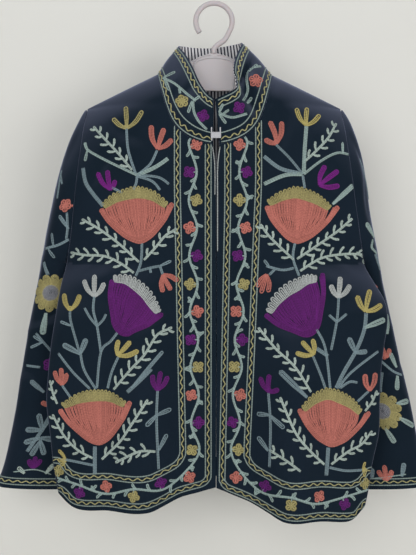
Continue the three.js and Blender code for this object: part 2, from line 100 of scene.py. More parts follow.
sleeveRows = table("outZ inZ outRight outLeft inRight inLeft outY inY front back", [
    (-163.5, -163.5, 199, 199, 190, 190, 0, 0, 6, 6), (-170, -170, 203, 203, 186, 186, 1, 1, 13, 13),
    (-178, -178, 207, 207.5, 184, 184, 1, 1, 18, 18), (-190, -190, 213, 213, 184, 184, 2, 2, 24, 24),
    (-212, -212, 223, 221, 186, 186, 3, 3, 30, 31), (-240, -240, 233, 229, 190, 190, 5, 4, 34, 35),
    (-275, -275, 243, 235, 196, 198, 7, 4, 36, 38), (-315, -315, 252, 240, 204, 206, 9, 2, 35, 40),
    (-352, -352, 260, 247, 212, 216, 11, -2, 32, 41),
    (-380, -380, 265, 253, 220, 223, 12, -6, 29, 41),
    (-392, -392, 268, 255, 224, 227, 13, -8, 27, 41),
    (-398, -398, 269, 256, 226, 230, 13, -9, 26, 41),
    (-410, -409, 271, 259, 224, 231, 14, -4, 26, 40),
    (-430, -429, 275, 263, 217, 226, 15, 6, 25, 40),
    (-458, -457, 281, 270, 203, 211, 16, 17, 25, 39),
    (-492, -492, 288, 278, 187, 192, 17, 26, 25, 37),
    (-532, -534, 295, 287, 174, 176, 18, 33, 25, 35),
    (-576, -580, 303, 298, 168, 169, 20, 37, 25, 32),
    (-622, -627, 310, 309, 170, 170, 21, 39, 24, 29),
    (-668, -674, 319, 318, 178, 178, 22, 40, 23, 26),
    (-712, -718, 329, 326, 191, 191, 22, 40, 21, 23),
    (-748, -758, 341, 332, 206, 206, 22, 39, 19, 21),
])
collarRight = table("along x y z", [
    (0, -0.6, -45, -153), (0.12, -12, -43, -143), (0.24, -23, -39, -125), (0.36, -33, -31, -101),
    (0.48, -44, -19, -80), (0.6, -54, -3, -65), (0.72, -50, 11, -60), (0.86, -28, 20, -60),
    (1, -6, 23, -60),
])
collarLeft = table("along x y z", [
    (0, 1.6, -45, -154), (0.07, 16, -45.5, -147), (0.13, 28, -46, -141), (0.19, 35, -45, -134),
    (0.25, 34, -42, -124), (0.32, 30, -37, -110), (0.4, 31, -29, -93), (0.5, 37, -18, -75),
    (0.6, 43, -5, -60), (0.72, 37, 9, -57), (0.86, 17, 19, -58), (1, -6, 23, -60),
])
openingGap = table("z half", [
    (-100, 0), (-167, 0), (-206, 6), (-221, 4.6), (-252, 0.7), (-300, 0.4), (-640, 0.3), (-800, 0.3),
])
middleDip = {"width": 42, "depth": 20, "headZ": -300, "footZ": -740}
neckShares = [0, 0.075, 0.165, 0.255, 0.327, 0.383, 0.42, neckShare]
backNeckShares = [0, 0.08, 0.16, 0.24, 0.32, 0.4, 0.434, neckShare]

# ---- creases, given one by one: middle, run in degrees, length, width, depth inwards, bend ----
creaseColumns = "x z run length width depth bend"
rightCreases = table(creaseColumns, [
    (-168, -255, 62, 120, 9, 2.6, 0.002), (-150, -330, 74, 150, 12, -2.2, -0.0012),
    (-190, -390, 38, 90, 8, 2.8, 0.0015), (-172, -420, 25, 110, 11, -1.9, 0.001),
    (-72, -250, 82, 140, 10, 1.6, 0.0008), (-52, -610, 86, 220, 13, 2.4, -0.0005),
    (-158, -650, 95, 190, 14, 2.6, 0.0006), (-205, -560, 84, 160, 9, -2.0, 0.0009),
    (-110, -480, 15, 120, 13, 1.3, 0.0018), (-20, -430, 91, 260, 8, 1.2, 0.0002),
    (-130, -205, 155, 90, 11, 1.5, -0.0016),
])
leftCreases = table(creaseColumns, [
    (172, -262, 115, 130, 9, 2.8, -0.0018), (152, -340, 104, 140, 12, -2.0, 0.0014),
    (194, -392, 140, 100, 8, 3.0, -0.0012), (178, -428, 152, 100, 12, -2.0, -0.0012),
    (96, -150, 88, 74, 7, -2.0, 0.0014), (108, -190, 80, 120, 8, 2.0, 0.0009),
    (48, -600, 93, 240, 13, 2.6, 0.0005), (160, -660, 84, 180, 13, 2.8, -0.0008),
    (212, -570, 98, 170, 9, -2.2, -0.0008), (104, -492, 168, 130, 12, 1.4, -0.0015),
    (26, -420, 89, 250, 8, 1.1, -0.0002),
])
backCreases = table(creaseColumns, [
    (-160, -262, 66, 150, 11, 3.0, 0.0016), (152, -250, 112, 140, 10, 2.8, -0.0018),
    (-186, -388, 32, 110, 9, 3.2, 0.0012), (190, -396, 146, 100, 9, 3.0, -0.0014),
    (0, -170, 4, 150, 9, 1.8, -0.0022), (-66, -450, 86, 260, 14, 2.4, 0.0005),
    (78, -520, 94, 240, 13, 2.6, -0.0006), (-142, -620, 96, 210, 12, -2.4, 0.0007),
    (150, -640, 85, 190, 13, -2.2, -0.0005), (20, -360, 24, 120, 12, 1.6, 0.0014),
    (-30, -640, 90, 180, 10, 2.0, 0.0004),
])
# On a sleeve x runs round it from the outer fold, forwards being positive.
rightSleeveCreases = table(creaseColumns, [
    (36, -222, 100, 80, 8, 2.6, 0.0016), (58, -470, 28, 84, 8, 3.6, 0.0024),
    (40, -500, 12, 96, 9, -2.8, 0.002), (62, -532, -8, 80, 8, 3.2, 0.0018),
    (28, -566, -20, 70, 10, 2.2, -0.0012), (70, -640, 80, 150, 12, 2.4, 0.0006),
    (30, -690, 96, 110, 10, -2.0, 0.0008), (-44, -480, -24, 100, 9, 3.2, -0.0016),
    (-60, -528, 8, 90, 9, 3.0, 0.0014), (-40, -640, 92, 170, 12, 2.6, 0.0005),
    (-30, -280, 84, 120, 9, 2.4, -0.001),
])
leftSleeveCreases = table(creaseColumns, [
    (30, -232, 80, 90, 8, 2.6, -0.0014), (34, -300, 96, 110, 8, 2.2, 0.001),
    (56, -455, 34, 80, 8, 3.4, 0.002), (44, -492, 16, 90, 9, -2.8, 0.0022),
    (60, -524, -4, 84, 8, 3.4, 0.0016), (26, -560, -18, 74, 10, 2.4, -0.0014),
    (66, -650, 98, 150, 12, 2.2, -0.0006), (-50, -470, -20, 96, 9, 3.0, -0.0014),
    (-56, -520, 12, 92, 9, 2.8, 0.0012), (-36, -650, 86, 160, 12, 2.6, -0.0004),
])

# ---- table reading and small sums ----
def sample(table, key, column, at):
    rising = table[-1][key] > table[0][key]
    last = len(table) - 1
    if (at <= table[0][key]) if rising else (at >= table[0][key]):
        return table[0][column]
    if (at >= table[last][key]) if rising else (at <= table[last][key]):
        return table[last][column]
    i = 0
    while (table[i + 1][key] < at) if rising else (table[i + 1][key] > at):
        i += 1
    a, b = table[i], table[i + 1]
    step = b[key] - a[key]
    before = table[i - 1] if i > 0 else a
    after = table[i + 2] if i + 2 <= last else b
    startSlope = (b[column] - before[column]) / (b[key] - before[key])
    endSlope = (after[column] - a[column]) / (after[key] - a[key])
    t = (at - a[key]) / step
    t2, t3 = t * t, t * t * t
    return ((2 * t3 - 3 * t2 + 1) * a[column] + (t3 - 2 * t2 + t) * step * startSlope
            + (3 * t2 - 2 * t3) * b[column] + (t3 - t2) * step * endSlope)


def clamp01(t):
    return min(1.0, max(0.0, t))


def easeIn(t):
    return t * t * (3 - 2 * t)


def hump(x, middle, width):
    return math.exp(-(((x - middle) / width) ** 2))


def finer(values, parts):
    out = []
    for a, b in zip(values, values[1:]):
        out += [a + (b - a) * k / parts for k in range(parts)]
    return out + [values[-1]]


# A crease is a soft trough, or a ridge where its depth is negative.
def creaseAt(creases, x, z):
    total = 0.0
    for c in creases:
        turn = math.radians(c["run"])
        along = (x - c["x"]) * math.cos(turn) + (z - c["z"]) * math.sin(turn)
        reach = c["length"] / 2
        if abs(along) >= reach:
            continue
        across = (z - c["z"]) * math.cos(turn) - (x - c["x"]) * math.sin(turn) - c["bend"] * along * along
        if abs(across) > 3 * c["width"]:
            continue
        total += c["depth"] * (1 - (along / reach) ** 2) ** 2 * math.exp(-((across / c["width"]) ** 2))
    return total


# ---- the body's form ----
def shoulderZ(x):
    return shoulder["neckZ"] + topSlope * (abs(x) - shoulder["neckX"])


def halfWidth(side, z):
    return sample(bodyRows, "z", "right" if side < 0 else "left", z)


def foldDepth(z):
    return sample(bodyRows, "z", "fold", z)


def loopHalf(z):
    share = (z - armholeMiddle) / armholeHalf
    return armhole["halfDepth"] * math.sqrt(max(0.0, 1 - share * share))


def armholeShare(z):
    return clamp01((armhole["top"] - z) / (armhole["top"] - armhole["bottom"]))


def foldOut(fold, x, z, hemZ):
    down = clamp01((fold["headZ"] - z) / (fold["headZ"] - hemZ))
    middle = fold["headX"] + (fold["hemX"] - fold["headX"]) * down
    return fold["out"] * easeIn(down) * hump(x, middle, fold["width"] * (0.75 + 0.25 * down))


def rollOff(x, z):
    drop = clamp01((shoulderZ(x) - z) / shoulderRoll)
    return math.sqrt(max(0.0, 1 - (1 - drop) ** 2))


def frontPoint(side, x, z):
    share = min(1.0, abs(x) / halfWidth(side, z))
    edge = foldDepth(z) - loopHalf(z)
    y = edge + (sample(bodyRows, "z", "front", z) - edge) * math.sqrt(1 - share ** 3)
    fade = 1 - share ** 6
    for fold in frontFolds:
        if fold["side"] == side:
            y -= foldOut(fold, x, z, foldFoot["front"]) * fade
    dip = clamp01((middleDip["headZ"] - z) / (middleDip["headZ"] - middleDip["footZ"]))
    y += middleDip["depth"] * easeIn(dip) * hump(x, openingX, middleDip["width"])
    y += creaseAt(rightCreases if side < 0 else leftCreases, x, z) * fade
    return Vector((x, -seam / 2 + y * rollOff(x, z), z))


def backPoint(side, x, z):
    share = min(1.0, abs(x) / halfWidth(side, z))
    low = clamp01((-200 - z) / 220)
    shape = (1 - share ** (4 - 2.5 * low)) ** 0.9
    edge = foldDepth(z) + loopHalf(z)
    y = edge + (sample(bodyRows, "z", "back", z) - edge) * shape
    fade = 1 - share ** 4
    for fold in backFolds:
        y += foldOut(fold, x, z, foldFoot["back"]) * fade
    y -= creaseAt(backCreases, x, z) * fade
    return Vector((x, seam / 2 + y * rollOff(x, z), z))


def armholeNormal(z, face):
    share = min(1.0, max(-1.0, (z - armholeMiddle) / armholeHalf))
    across = face * math.sqrt(1 - share * share) / armhole["halfDepth"]
    return Vector((0, across, share / armholeHalf)).normalized()


def turnedIn(normal, gap, own, reach):
    return normal.lerp(own, (1 - gap / reach) ** 2).normalized() if gap < reach else normal


def rowHeight(r, topZ, hemZ):
    if r <= armholeRow:
        return topZ + (armhole["bottom"] - topZ) * (r / armholeRow) ** 1.5
    return armhole["bottom"] + (hemZ - armhole["bottom"]) * ((r - armholeRow) / (hemRow - armholeRow))


def surfaceNormals(points, facing, joinRow=None):
    count, across = len(points), len(points[0])
    rows = []
    for i in range(count):
        line = []
        for j in range(across):
            tube = joinRow is not None and i >= joinRow and j in (0, across - 1)
            before = points[i][across - 2] if tube else points[i][max(0, j - 1)]
            after = points[i][1] if tube else points[i][min(across - 1, j + 1)]
            down = points[min(count - 1, i + 1)][j] - points[max(0, i - 1)][j]
            line.append(((after - before).cross(down)).normalized() * facing)
        rows.append(line)
    return rows


# ---- cloth pieces ----
sideShares = [0.51, 0.58, 0.66, 0.74, 0.82, 0.89, 0.955, 0.988, 1]
armholeRow, hemRow = 13, 24
panelRows = finer([0, 0.25, 0.6] + list(range(1, armholeRow + 1)), 4)
panelRows += finer(list(range(armholeRow, hemRow + 1)), 7)[1:]


def frontRows(side):
    shares = finer(neckShares, 5) + finer([neckShare] + sideShares, 4)[1:]
    points = []
    for r in panelRows:
        line = []
        for share in shares:
            topX = share * (shoulder["tipX"] - seam / 2)
            topZ = sample(neckline, "x", "z", topX) if share < neckShare else shoulderZ(topX)
            hemZ = sample(hems[side], "x", "z", share * halfWidth(side, hemLevel))
            z = rowHeight(r, topZ, hemZ)
            innerX = openingX + side * (sample(openingGap, "z", "half", z) + seam / 2)
            outerX = side * (halfWidth(side, z) - (seam / 2 if z > armhole["bottom"] else 0))
            line.append(frontPoint(side, innerX + (outerX - innerX) * share, z))
        points.append(line)
    normals = surfaceNormals(points, -side)
    for i, line in enumerate(points):
        for j, p in enumerate(line):
            own = armholeNormal(p.z, -1) if p.z > armhole["bottom"] else Vector((side, 0, 0))
            normals[i][j] = turnedIn(normals[i][j], (p - line[-1]).length, own, turnIn)
    for j, share in enumerate(shares):
        if share > neckShare + 0.001:
            normals[0][j] = Vector((-topSlope * side, 0, 1)).normalized()
    return {"points": points, "normals": normals, "shares": shares}


# The back's hem meets the front's at the side seam.
def backHemZ(side, size):
    wide = halfWidth(side, hemLevel)
    seamZ = sample(hems[side], "x", "z", wide)
    rise = seamZ - sample(hemBack, "x", "z", wide)
    return sample(hemBack, "x", "z", size * wide) + rise * easeIn(clamp01((size - 0.75) / 0.25))


def backRows():
    half = finer(backNeckShares, 4) + finer([neckShare] + sideShares, 4)[1:]
    shares = [-s for s in half[:0:-1]] + half
    points = []
    for r in panelRows:
        line = []
        for share in shares:
            side, size = (-1 if share < 0 else 1), abs(share)
            topX = size * (shoulder["tipX"] - seam / 2)
            dip = (backNeckZ - shoulder["neckZ"]) * (1 - (topX / shoulder["neckX"]) ** 2)
            topZ = shoulder["neckZ"] + dip if size < neckShare else shoulderZ(topX)
            hemZ = backHemZ(side, size)
            z = rowHeight(r, topZ, hemZ)
            outerX = halfWidth(side, z) - (seam / 2 if z > armhole["bottom"] else 0)
            line.append(backPoint(side, share * outerX, z))
        points.append(line)
    normals = surfaceNormals(points, 1)
    for i, line in enumerate(points):
        for j, p in enumerate(line):
            side = -1 if shares[j] < 0 else 1
            gap = (p - line[-1 if side > 0 else 0]).length
            own = armholeNormal(p.z, 1) if p.z > armhole["bottom"] else Vector((side, 0, 0))
            normals[i][j] = turnedIn(normals[i][j], gap, own, turnIn)
    for j, share in enumerate(shares):
        if abs(share) > neckShare + 0.001:
            normals[0][j] = Vector((-topSlope * (-1 if share < 0 else 1), 0, 1)).normalized()
    return {"points": points, "normals": normals, "shares": shares}


# Round a sleeve t runs from -1 in front through the outer fold at 0 to 1 behind.
def sleeveGrid(side):
    outKey, inKey = ("outRight", "inRight") if side < 0 else ("outLeft", "inLeft")
    creases = rightSleeveCreases if side < 0 else leftSleeveCreases
    heights = [row["outZ"] for row in sleeveRows]
    down = finer(heights[:12], 3) + finer(heights[11:], 7)[1:]
    turns = [k / 40 - 1 for k in range(81)]
    points = []
    for outZ in down:
        row = {c: sample(sleeveRows, "outZ", c, outZ) for c in sleeveRows[0]}
        outer = Vector((side * row[outKey], row["outY"], outZ))
        inner = Vector((side * row[inKey], row["inY"], row["inZ"]))
        centre = (outer + inner) / 2
        reach = outer - centre
        isOpen = outZ > armhole["bottom"]
        widest = math.pi * (0.5 + 0.5 * armholeShare(outZ) ** 6) if isOpen else math.pi

        def at(t):
            angle = widest * t
            p = centre + reach * math.cos(angle)
            lean = 1.25 * (0.5 + 0.5 * math.cos(angle)) ** 0.6
            p.y += (row["front"] * lean if t < 0 else row["back"]) * math.sin(angle)
            return p

        pull = 1.0 if isOpen else clamp01((outZ + 410) / 12)
        edgeX = side * (halfWidth(side, outZ) + seam + velvet * armholeShare(outZ) ** 14)
        line = []
        for t in turns:
            p = at(t)
            if pull > 0:
                face = -1 if t < 0 else 1
                edge = Vector((edgeX, foldDepth(outZ) + face * loopHalf(outZ), outZ))
                p += (edge - at(face)) * (abs(t) ** 3 * pull)
            line.append(p)
        points.append(line)
    joinRow = next(i for i, z in enumerate(down) if z <= armhole["bottom"])
    arcs = [arcLengths(line, 40) for line in points]
    normals = surfaceNormals(points, -side, joinRow)
    for i, line in enumerate(points):
        for j, p in enumerate(line):
            # forwards is positive, so the front's negative turns change sign
            deep = creaseAt(creases, -arcs[i][j], p.z)
            fade = min(1.0, min(j, 80 - j) / 6) if i < joinRow else 1.0
            p -= normals[i][j] * (deep * fade * clamp01((-185 - p.z) / 30))
    normals = surfaceNormals(points, -side, joinRow)
    for i in range(joinRow):
        for j in range(81):
            own = armholeNormal(points[i][j].z, -1 if j < 40 else 1)
            normals[i][j] = turnedIn(normals[i][j], min(j, 80 - j), own, 4)
    for j in range(81):
        normals[0][j] = Vector((side * 0.4, 0, 0.9)).normalized()
    for j in (0, 80):
        normals[joinRow][j] = Vector((-side * 0.3, 0, -0.95)).normalized()
    return {"points": points, "normals": normals, "joinRow": joinRow, "keys": down, "arcs": arcs}


def arcLengths(line, zero):
    run = [0.0]
    for a, b in zip(line, line[1:]):
        run.append(run[-1] + (b - a).length)
    return [v - run[zero] for v in run]


# The collar's foot lies on the panels' own necklines and its top edge follows the tables.
collarCreases = table(creaseColumns, [
    (392, 34, 68, 60, 8, 3.2, 0.004), (368, 30, 100, 52, 7, -2.4, -0.003),
    (424, 26, 40, 50, 8, 2.4, 0.002), (70, 30, 110, 54, 8, 2.0, 0.003),
    (118, 28, 76, 50, 7, 2.2, -0.002), (220, 30, 96, 48, 9, 1.6, 0.002),
])
collarFrontCreases = table(creaseColumns, [
    (47, -114, 56, 70, 5, 12, 0.003), (50, -151, 108, 70, 6, 8.5, -0.003),
    (60, -134, 110, 66, 6, -6, 0.002), (36, -122, 62, 50, 5, -4, 0.002),
    (-38, -140, 52, 60, 8, 3.2, 0.004), (-62, -130, 66, 64, 7, -2.6, 0.002),
    (16, -176, 20, 50, 7, 2.6, 0.004), (-24, -176, 150, 50, 7, 2.2, -0.003),
])
collarHeight = 62
# how far round its own half the collar has come where it passes the shoulder
collarShoulder = 0.6


def collarGrid(right, left, back):
    def stepOf(share, shares):
        for k in range(len(shares) - 1):
            if share <= shares[k + 1]:
                return k + (share - shares[k]) / (shares[k + 1] - shares[k])
        return len(shares) - 1

    def halfOf(topEdge, front, side):
        out = []
        for j, share in enumerate(front["shares"]):
            if share <= neckShare + 1e-6:
                run = collarShoulder * stepOf(share, neckShares) / (len(neckShares) - 1)
                out.append((front["points"][0][j], run, topEdge))
        steps = len(backNeckShares) - 1
        mine = [(abs(s), j) for j, s in enumerate(back["shares"])
                if s * side >= 0 and abs(s) < neckShare - 1e-6]
        for size, j in sorted(mine, reverse=True):
            run = 1 - (1 - collarShoulder) * (stepOf(size, backNeckShares) / steps) ** 0.9
            out.append((back["points"][0][j], run, topEdge))
        return out

    columns = halfOf(collarRight, right, -1) + halfOf(collarLeft, left, 1)[:-1][::-1]
    steps = 14
    points = []
    for i in range(steps + 1):
        up = 1 - i / steps
        line = []
        for foot, run, topEdge in columns:
            top = Vector([sample(topEdge, "along", c, run) for c in "xyz"])
            start = foot + (top - foot).normalized() * seam / 2
            line.append(start.lerp(top, up))
        points.append(line)
    arcs = arcLengths(points[-1], 0)
    normals = surfaceNormals(points, 1)
    for i, line in enumerate(points):
        up = 1 - i / steps
        belly = 2.2 * math.sin(math.pi * up)
        for j, p in enumerate(line):
            fade = min(1.0, min(j, len(line) - 1 - j) / 8) * math.sin(math.pi * (0.15 + 0.7 * up))
            if p.y < 0:
                deep = creaseAt(collarFrontCreases, p.x, p.z)
            else:
                deep = creaseAt(collarCreases, arcs[j], collarHeight * up)
            p += normals[i][j] * (belly - deep) * fade
    normals = surfaceNormals(points, 1)
    return {"points": points, "normals": normals, "arcs": [arcs] * (steps + 1),
            "keys": [collarHeight * (1 - i / steps) for i in range(steps + 1)]}


def offsetGrid(points, normals, distance):
    return [[p + n * distance for p, n in zip(a, b)] for a, b in zip(points, normals)]


# Makes a closed wall of cloth. From joinRow on it is a tube, and its outside is kept for the thread.
def clothPiece(name, node, grid, wall, material):
    points, normals = grid["points"], grid["normals"]
    count, across = len(points), len(points[0])
    end = across - 1
    joinAt = grid.get("joinRow", count)
    verts = []
    for line, own in zip(points, normals):
        for p, n in zip(line, own):
            verts.append((p + n * wall / 2) / 1000)
            verts.append((p - n * wall / 2) / 1000)

    def outer(i, j):
        return 2 * (i * across + (0 if j == end and i >= joinAt else j))

    def inner(i, j):
        return outer(i, j) + 1

    mid = (count // 2, across // 2)
    a = points[mid[0]][mid[1] + 1] - points[mid[0]][mid[1]]
    b = points[mid[0] + 1][mid[1]] - points[mid[0]][mid[1]]
    facing = a.cross(b).dot(normals[mid[0]][mid[1]]) > 0
    faces, outside = [], []

    def quad(a, b, c, d, keep=False):
        face = (a, b, d, c) if facing else (a, c, d, b)
        faces.append(face)
        if keep:
            outside.append(face)

    for i in range(count - 1):
        for j in range(end):
            quad(outer(i, j), outer(i, j + 1), outer(i + 1, j), outer(i + 1, j + 1), True)
            quad(inner(i, j), inner(i + 1, j), inner(i, j + 1), inner(i + 1, j + 1))
    for j in range(end):
        quad(outer(0, j), inner(0, j), outer(0, j + 1), inner(0, j + 1))
        quad(outer(count - 1, j), outer(count - 1, j + 1), inner(count - 1, j), inner(count - 1, j + 1))
    for i in range(min(count - 1, joinAt)):
        quad(outer(i, 0), outer(i + 1, 0), inner(i, 0), inner(i + 1, 0))
        quad(outer(i, end), inner(i, end), outer(i + 1, end), inner(i + 1, end))
    mesh = bpy.data.meshes.new(name)
    mesh.from_pydata(verts, [], faces)
    if "uvs" in grid:
        layer = mesh.uv_layers.new(name="run")
        for loop in mesh.loops:
            spot = loop.vertex_index // 2
            layer.data[loop.index].uv = grid["uvs"][spot // across][spot % across]
    mesh.validate()
    # a tube's last column is unused below the join
    tidy = bmesh.new()
    tidy.from_mesh(mesh)
    bmesh.ops.delete(tidy, geom=[v for v in tidy.verts if not v.link_faces], context="VERTS")
    tidy.to_mesh(mesh)
    tidy.free()
    mesh.shade_smooth()
    mesh.set_sharp_from_angle(angle=math.radians(50))
    piece = addPiece(name, mesh, node, material)
    tree = BVHTree.FromPolygons(verts, outside)
    return {"object": piece, "tree": tree}


def addPiece(name, mesh, node, material):
    piece = bpy.data.objects.new(name, mesh)
    bpy.context.scene.collection.objects.link(piece)
    if material is not None:
        mesh.materials.append(material)
    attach(piece, "root")
    if node:
        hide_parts(node)
    return piece


# ---- finishes ----
def setInputs(node, values):
    for name, value in values.items():
        node.inputs[name].default_value = value


def addNode(material, kind, values=None):
    node = material.node_tree.nodes.new(kind)
    setInputs(node, values or {})
    return node


def colourMix(material, values):
    mix = addNode(material, "ShaderNodeMix")
    mix.data_type = "RGBA"
    setInputs(mix, values)
    return mix


def sumNode(material, operation, values=None):
    node = addNode(material, "ShaderNodeMath", values)
    node.operation = operation
    return node


def wire(material, wires):
    for start, output, end, socket in wires:
        material.node_tree.links.new(start.outputs[output], end.inputs[socket])


def plainMaterial(name, colour, roughness, metallic=0.0):
    material = bpy.data.materials.new(name)
    material.use_nodes = True
    setInputs(material.node_tree.nodes["Principled BSDF"],
              {"Base Color": (*colour, 1), "Roughness": roughness, "Metallic": metallic})
    return material


def velvetMaterial():
    material = plainMaterial("navyVelvet", (0.010, 0.016, 0.028), 0.88)
    shader = material.node_tree.nodes["Principled BSDF"]
    setInputs(shader, {"Specular IOR Level": 0.05, "Sheen Weight": 0.85, "Sheen Roughness": 0.3,
                       "Sheen Tint": (0.50, 0.56, 0.80, 1)})
    place = addNode(material, "ShaderNodeTexCoord")
    nap = addNode(material, "ShaderNodeTexNoise", {"Scale": 9, "Detail": 6})
    blend = colourMix(material, {"A": (0.0045, 0.0105, 0.0165, 1), "B": (0.0095, 0.0165, 0.029, 1)})
    # painted light: cloth that faces upwards is mixed towards a paler blue, a painted highlight on the
    # shoulders and the crease tops
    facing = addNode(material, "ShaderNodeNewGeometry")
    parts = addNode(material, "ShaderNodeSeparateXYZ")
    lean = addNode(material, "ShaderNodeMapRange", {"From Min": 0.06, "From Max": 0.80})
    # the paler blue of the painted highlight on upward-facing cloth
    paintedTopLight = colourMix(material, {"B": (0.058, 0.068, 0.104, 1)})
    pile = addNode(material, "ShaderNodeTexNoise", {"Scale": 700, "Detail": 3})
    bump = addNode(material, "ShaderNodeBump", {"Strength": 0.25, "Distance": 0.0006})
    wire(material, [
        (place, "Object", nap, "Vector"), (nap, "Fac", blend, "Factor"),
        (facing, "Normal", parts, "Vector"), (parts, "Z", lean, "Value"),
        (lean, "Result", paintedTopLight, "Factor"), (blend, "Result", paintedTopLight, "A"),
        (paintedTopLight, "Result", shader, "Base Color"), (place, "Object", pile, "Vector"),
        (pile, "Fac", bump, "Height"), (bump, "Normal", shader, "Normal"),
    ])
    return material


def stripeMaterial():
    material = plainMaterial("stripedCotton", (0.7, 0.7, 0.72), 0.85)
    run = addNode(material, "ShaderNodeUVMap")
    run.uv_map = "run"
    split = addNode(material, "ShaderNodeSeparateXYZ")
    part = sumNode(material, "FRACT")
    dark = sumNode(material, "LESS_THAN", {1: 0.46})
    blend = colourMix(material, {"A": (0.68, 0.68, 0.71, 1), "B": (0.022, 0.025, 0.045, 1)})
    wire(material, [
        (run, "UV", split, "Vector"), (split, "X", part, 0), (part, "Value", dark, 0),
        (dark, "Value", blend, "Factor"),
        (blend, "Result", material.node_tree.nodes["Principled BSDF"], "Base Color"),
    ])
    return material


# A thread's colour carries painted light: painted shade dark down each cord's flanks, between the rows,
# and a painted highlight along its ridge.
def threadMaterial(name, colour):
    material = plainMaterial(name + "Thread", colour, 0.75)
    shader = material.node_tree.nodes["Principled BSDF"]
    setInputs(shader, {"Specular IOR Level": 0.2, "Sheen Weight": 0.08})
    place = addNode(material, "ShaderNodeTexCoord")
    worn = addNode(material, "ShaderNodeTexNoise", {"Scale": 420, "Detail": 2})
    shade = addNode(material, "ShaderNodeVertexColor")
    shade.layer_name = "shade"
    both = sumNode(material, "MULTIPLY_ADD", {1: 0.5})
    less = sumNode(material, "SUBTRACT", {1: 0.25})
    less.use_clamp = True
    blend = colourMix(material, {"A": (*[c * 0.2 for c in colour], 1),
                                 "B": (*[min(1, c * 1.12) for c in colour], 1)})
    wire(material, [
        (place, "Object", worn, "Vector"), (worn, "Fac", both, 0), (shade, "Color", both, 2),
        (both, "Value", less, 0), (less, "Value", blend, "Factor"),
        (blend, "Result", shader, "Base Color"),
    ])
    return material


threads = {
    "coral": (0.50, 0.162, 0.132), "olive": (0.36, 0.32, 0.135), "yellow": (0.44, 0.375, 0.135),
    "purple": (0.115, 0.008, 0.15), "magenta": (0.17, 0.010, 0.20), "white": (0.42, 0.45, 0.45),
    "grey": (0.26, 0.27, 0.31), "sage": (0.30, 0.40, 0.385), "fern": (0.40, 0.49, 0.455),
    "slate": (0.19, 0.265, 0.30), "line": (0.26, 0.33, 0.31), "cream": (0.42, 0.40, 0.20),
}
threadOrder = list(threads)
velvetCloth = velvetMaterial()
stripes = stripeMaterial()
threadFinish = {name: threadMaterial(name, colour) for name, colour in threads.items()}

right, left, back = frontRows(-1), frontRows(1), backRows()
frontRight = clothPiece("frontRight", "front_right", right, velvet, velvetCloth)
frontLeft = clothPiece("frontLeft", "front_left", left, velvet, velvetCloth)
backPanel = clothPiece("backPanel", "back", back, velvet, velvetCloth)
print("panels cut and hung")

sleeves = {}
for side, name, node in ((-1, "sleeveRight", "sleeve_right"), (1, "sleeveLeft", "sleeve_left")):
    grid = sleeveGrid(side)
    grid.update(clothPiece(name, node, grid, velvet, velvetCloth))
    sleeves[side] = grid
print("sleeves set in")

collar = collarGrid(right, left, back)
collarPiece = clothPiece("collarVelvet", "collar", collar, velvet, velvetCloth)
inward = -(velvet / 2 + plyGap + lining / 2)
stripeRun = 5.3
collarIn = {"points": offsetGrid(collar["points"], collar["normals"], inward),
            "normals": collar["normals"]}
middleColumn = len(collarIn["points"][0]) // 2
collarIn["uvs"] = [[(s / stripeRun, key / 100) for s in arcLengths(line, middleColumn)]
                   for line, key in zip(collarIn["points"], collar["keys"])]
collarLining = clothPiece("collarStripes", "collar_lining", collarIn, lining, stripes)

keepColumns = [j for j, share in enumerate(back["shares"]) if abs(share) <= 0.82]
keepRows = [i for i, r in enumerate(panelRows) if 1 <= r <= hemRow - 1]
kept = {part: [[back[part][i][j] for j in keepColumns] for i in keepRows]
        for part in ("points", "normals")}
backIn = {"points": offsetGrid(kept["points"], kept["normals"], inward), "normals": kept["normals"],
          "uvs": [[(p.x / stripeRun, p.z / 100) for p in line] for line in kept["points"]]}
backLining = clothPiece("backStripes", "back_lining", backIn, lining, stripes)
print("collar and linings sewn")


# ---- chain stitch ----
# A canvas turns a place in millimetres on the cloth into a point and its outward normal.
def facingCanvas(tree, face):
    def at(x, z):
        start = Vector((x / 1000, face * 0.3, z / 1000))
        hit = tree.ray_cast(start, Vector((0, -face, 0)))
        point, normal, far = hit[0], hit[1], hit[3]
        if point is None or far > 0.5:
            return None
        return point, (normal if normal.y * face > 0 else -normal)
    return at


def gridCanvas(grid, wall, ring=False):
    keys, arcs, points, normals = grid["keys"], grid["arcs"], grid["points"], grid["normals"]

    def onRow(i, s):
        run = arcs[i]
        if ring and (s > run[-1] or s < run[0]):
            s = run[0] + (s - run[0]) % (run[-1] - run[0])
        if s <= run[0] or s >= run[-1]:
            return None
        lo = bisect(run, s) - 1
        f = (s - run[lo]) / (run[lo + 1] - run[lo])
        return points[i][lo].lerp(points[i][lo + 1], f), normals[i][lo].lerp(normals[i][lo + 1], f)

    def at(s, v):
        if v >= keys[0] or v <= keys[-1]:
            return None
        i = 0
        while keys[i + 1] > v:
            i += 1
        f = (keys[i] - v) / (keys[i] - keys[i + 1])
        a, b = onRow(i, s), onRow(i + 1, s)
        if a is None or b is None:
            return None
        normal = a[1].lerp(b[1], f).normalized()
        return (a[0].lerp(b[0], f) + normal * wall / 2) / 1000, normal
    return at


def newWork():
    return {"verts": [], "faces": [], "threads": [], "shades": []}


def smoothPath(path, parts=6):
    pts = [Vector(p) for p in path]
    if len(pts) < 3:
        return pts
    out = []
    for k in range(len(pts) - 1):
        a, b = pts[max(0, k - 1)], pts[k]
        c, d = pts[k + 1], pts[min(len(pts) - 1, k + 2)]
        for n in range(parts):
            t = n / parts
            out.append(0.5 * (2 * b + (c - a) * t + (2 * a - 5 * b + 4 * c - d) * t * t
                              + (3 * b - a - 3 * c + d) * t ** 3))
    return out + [pts[-1]]


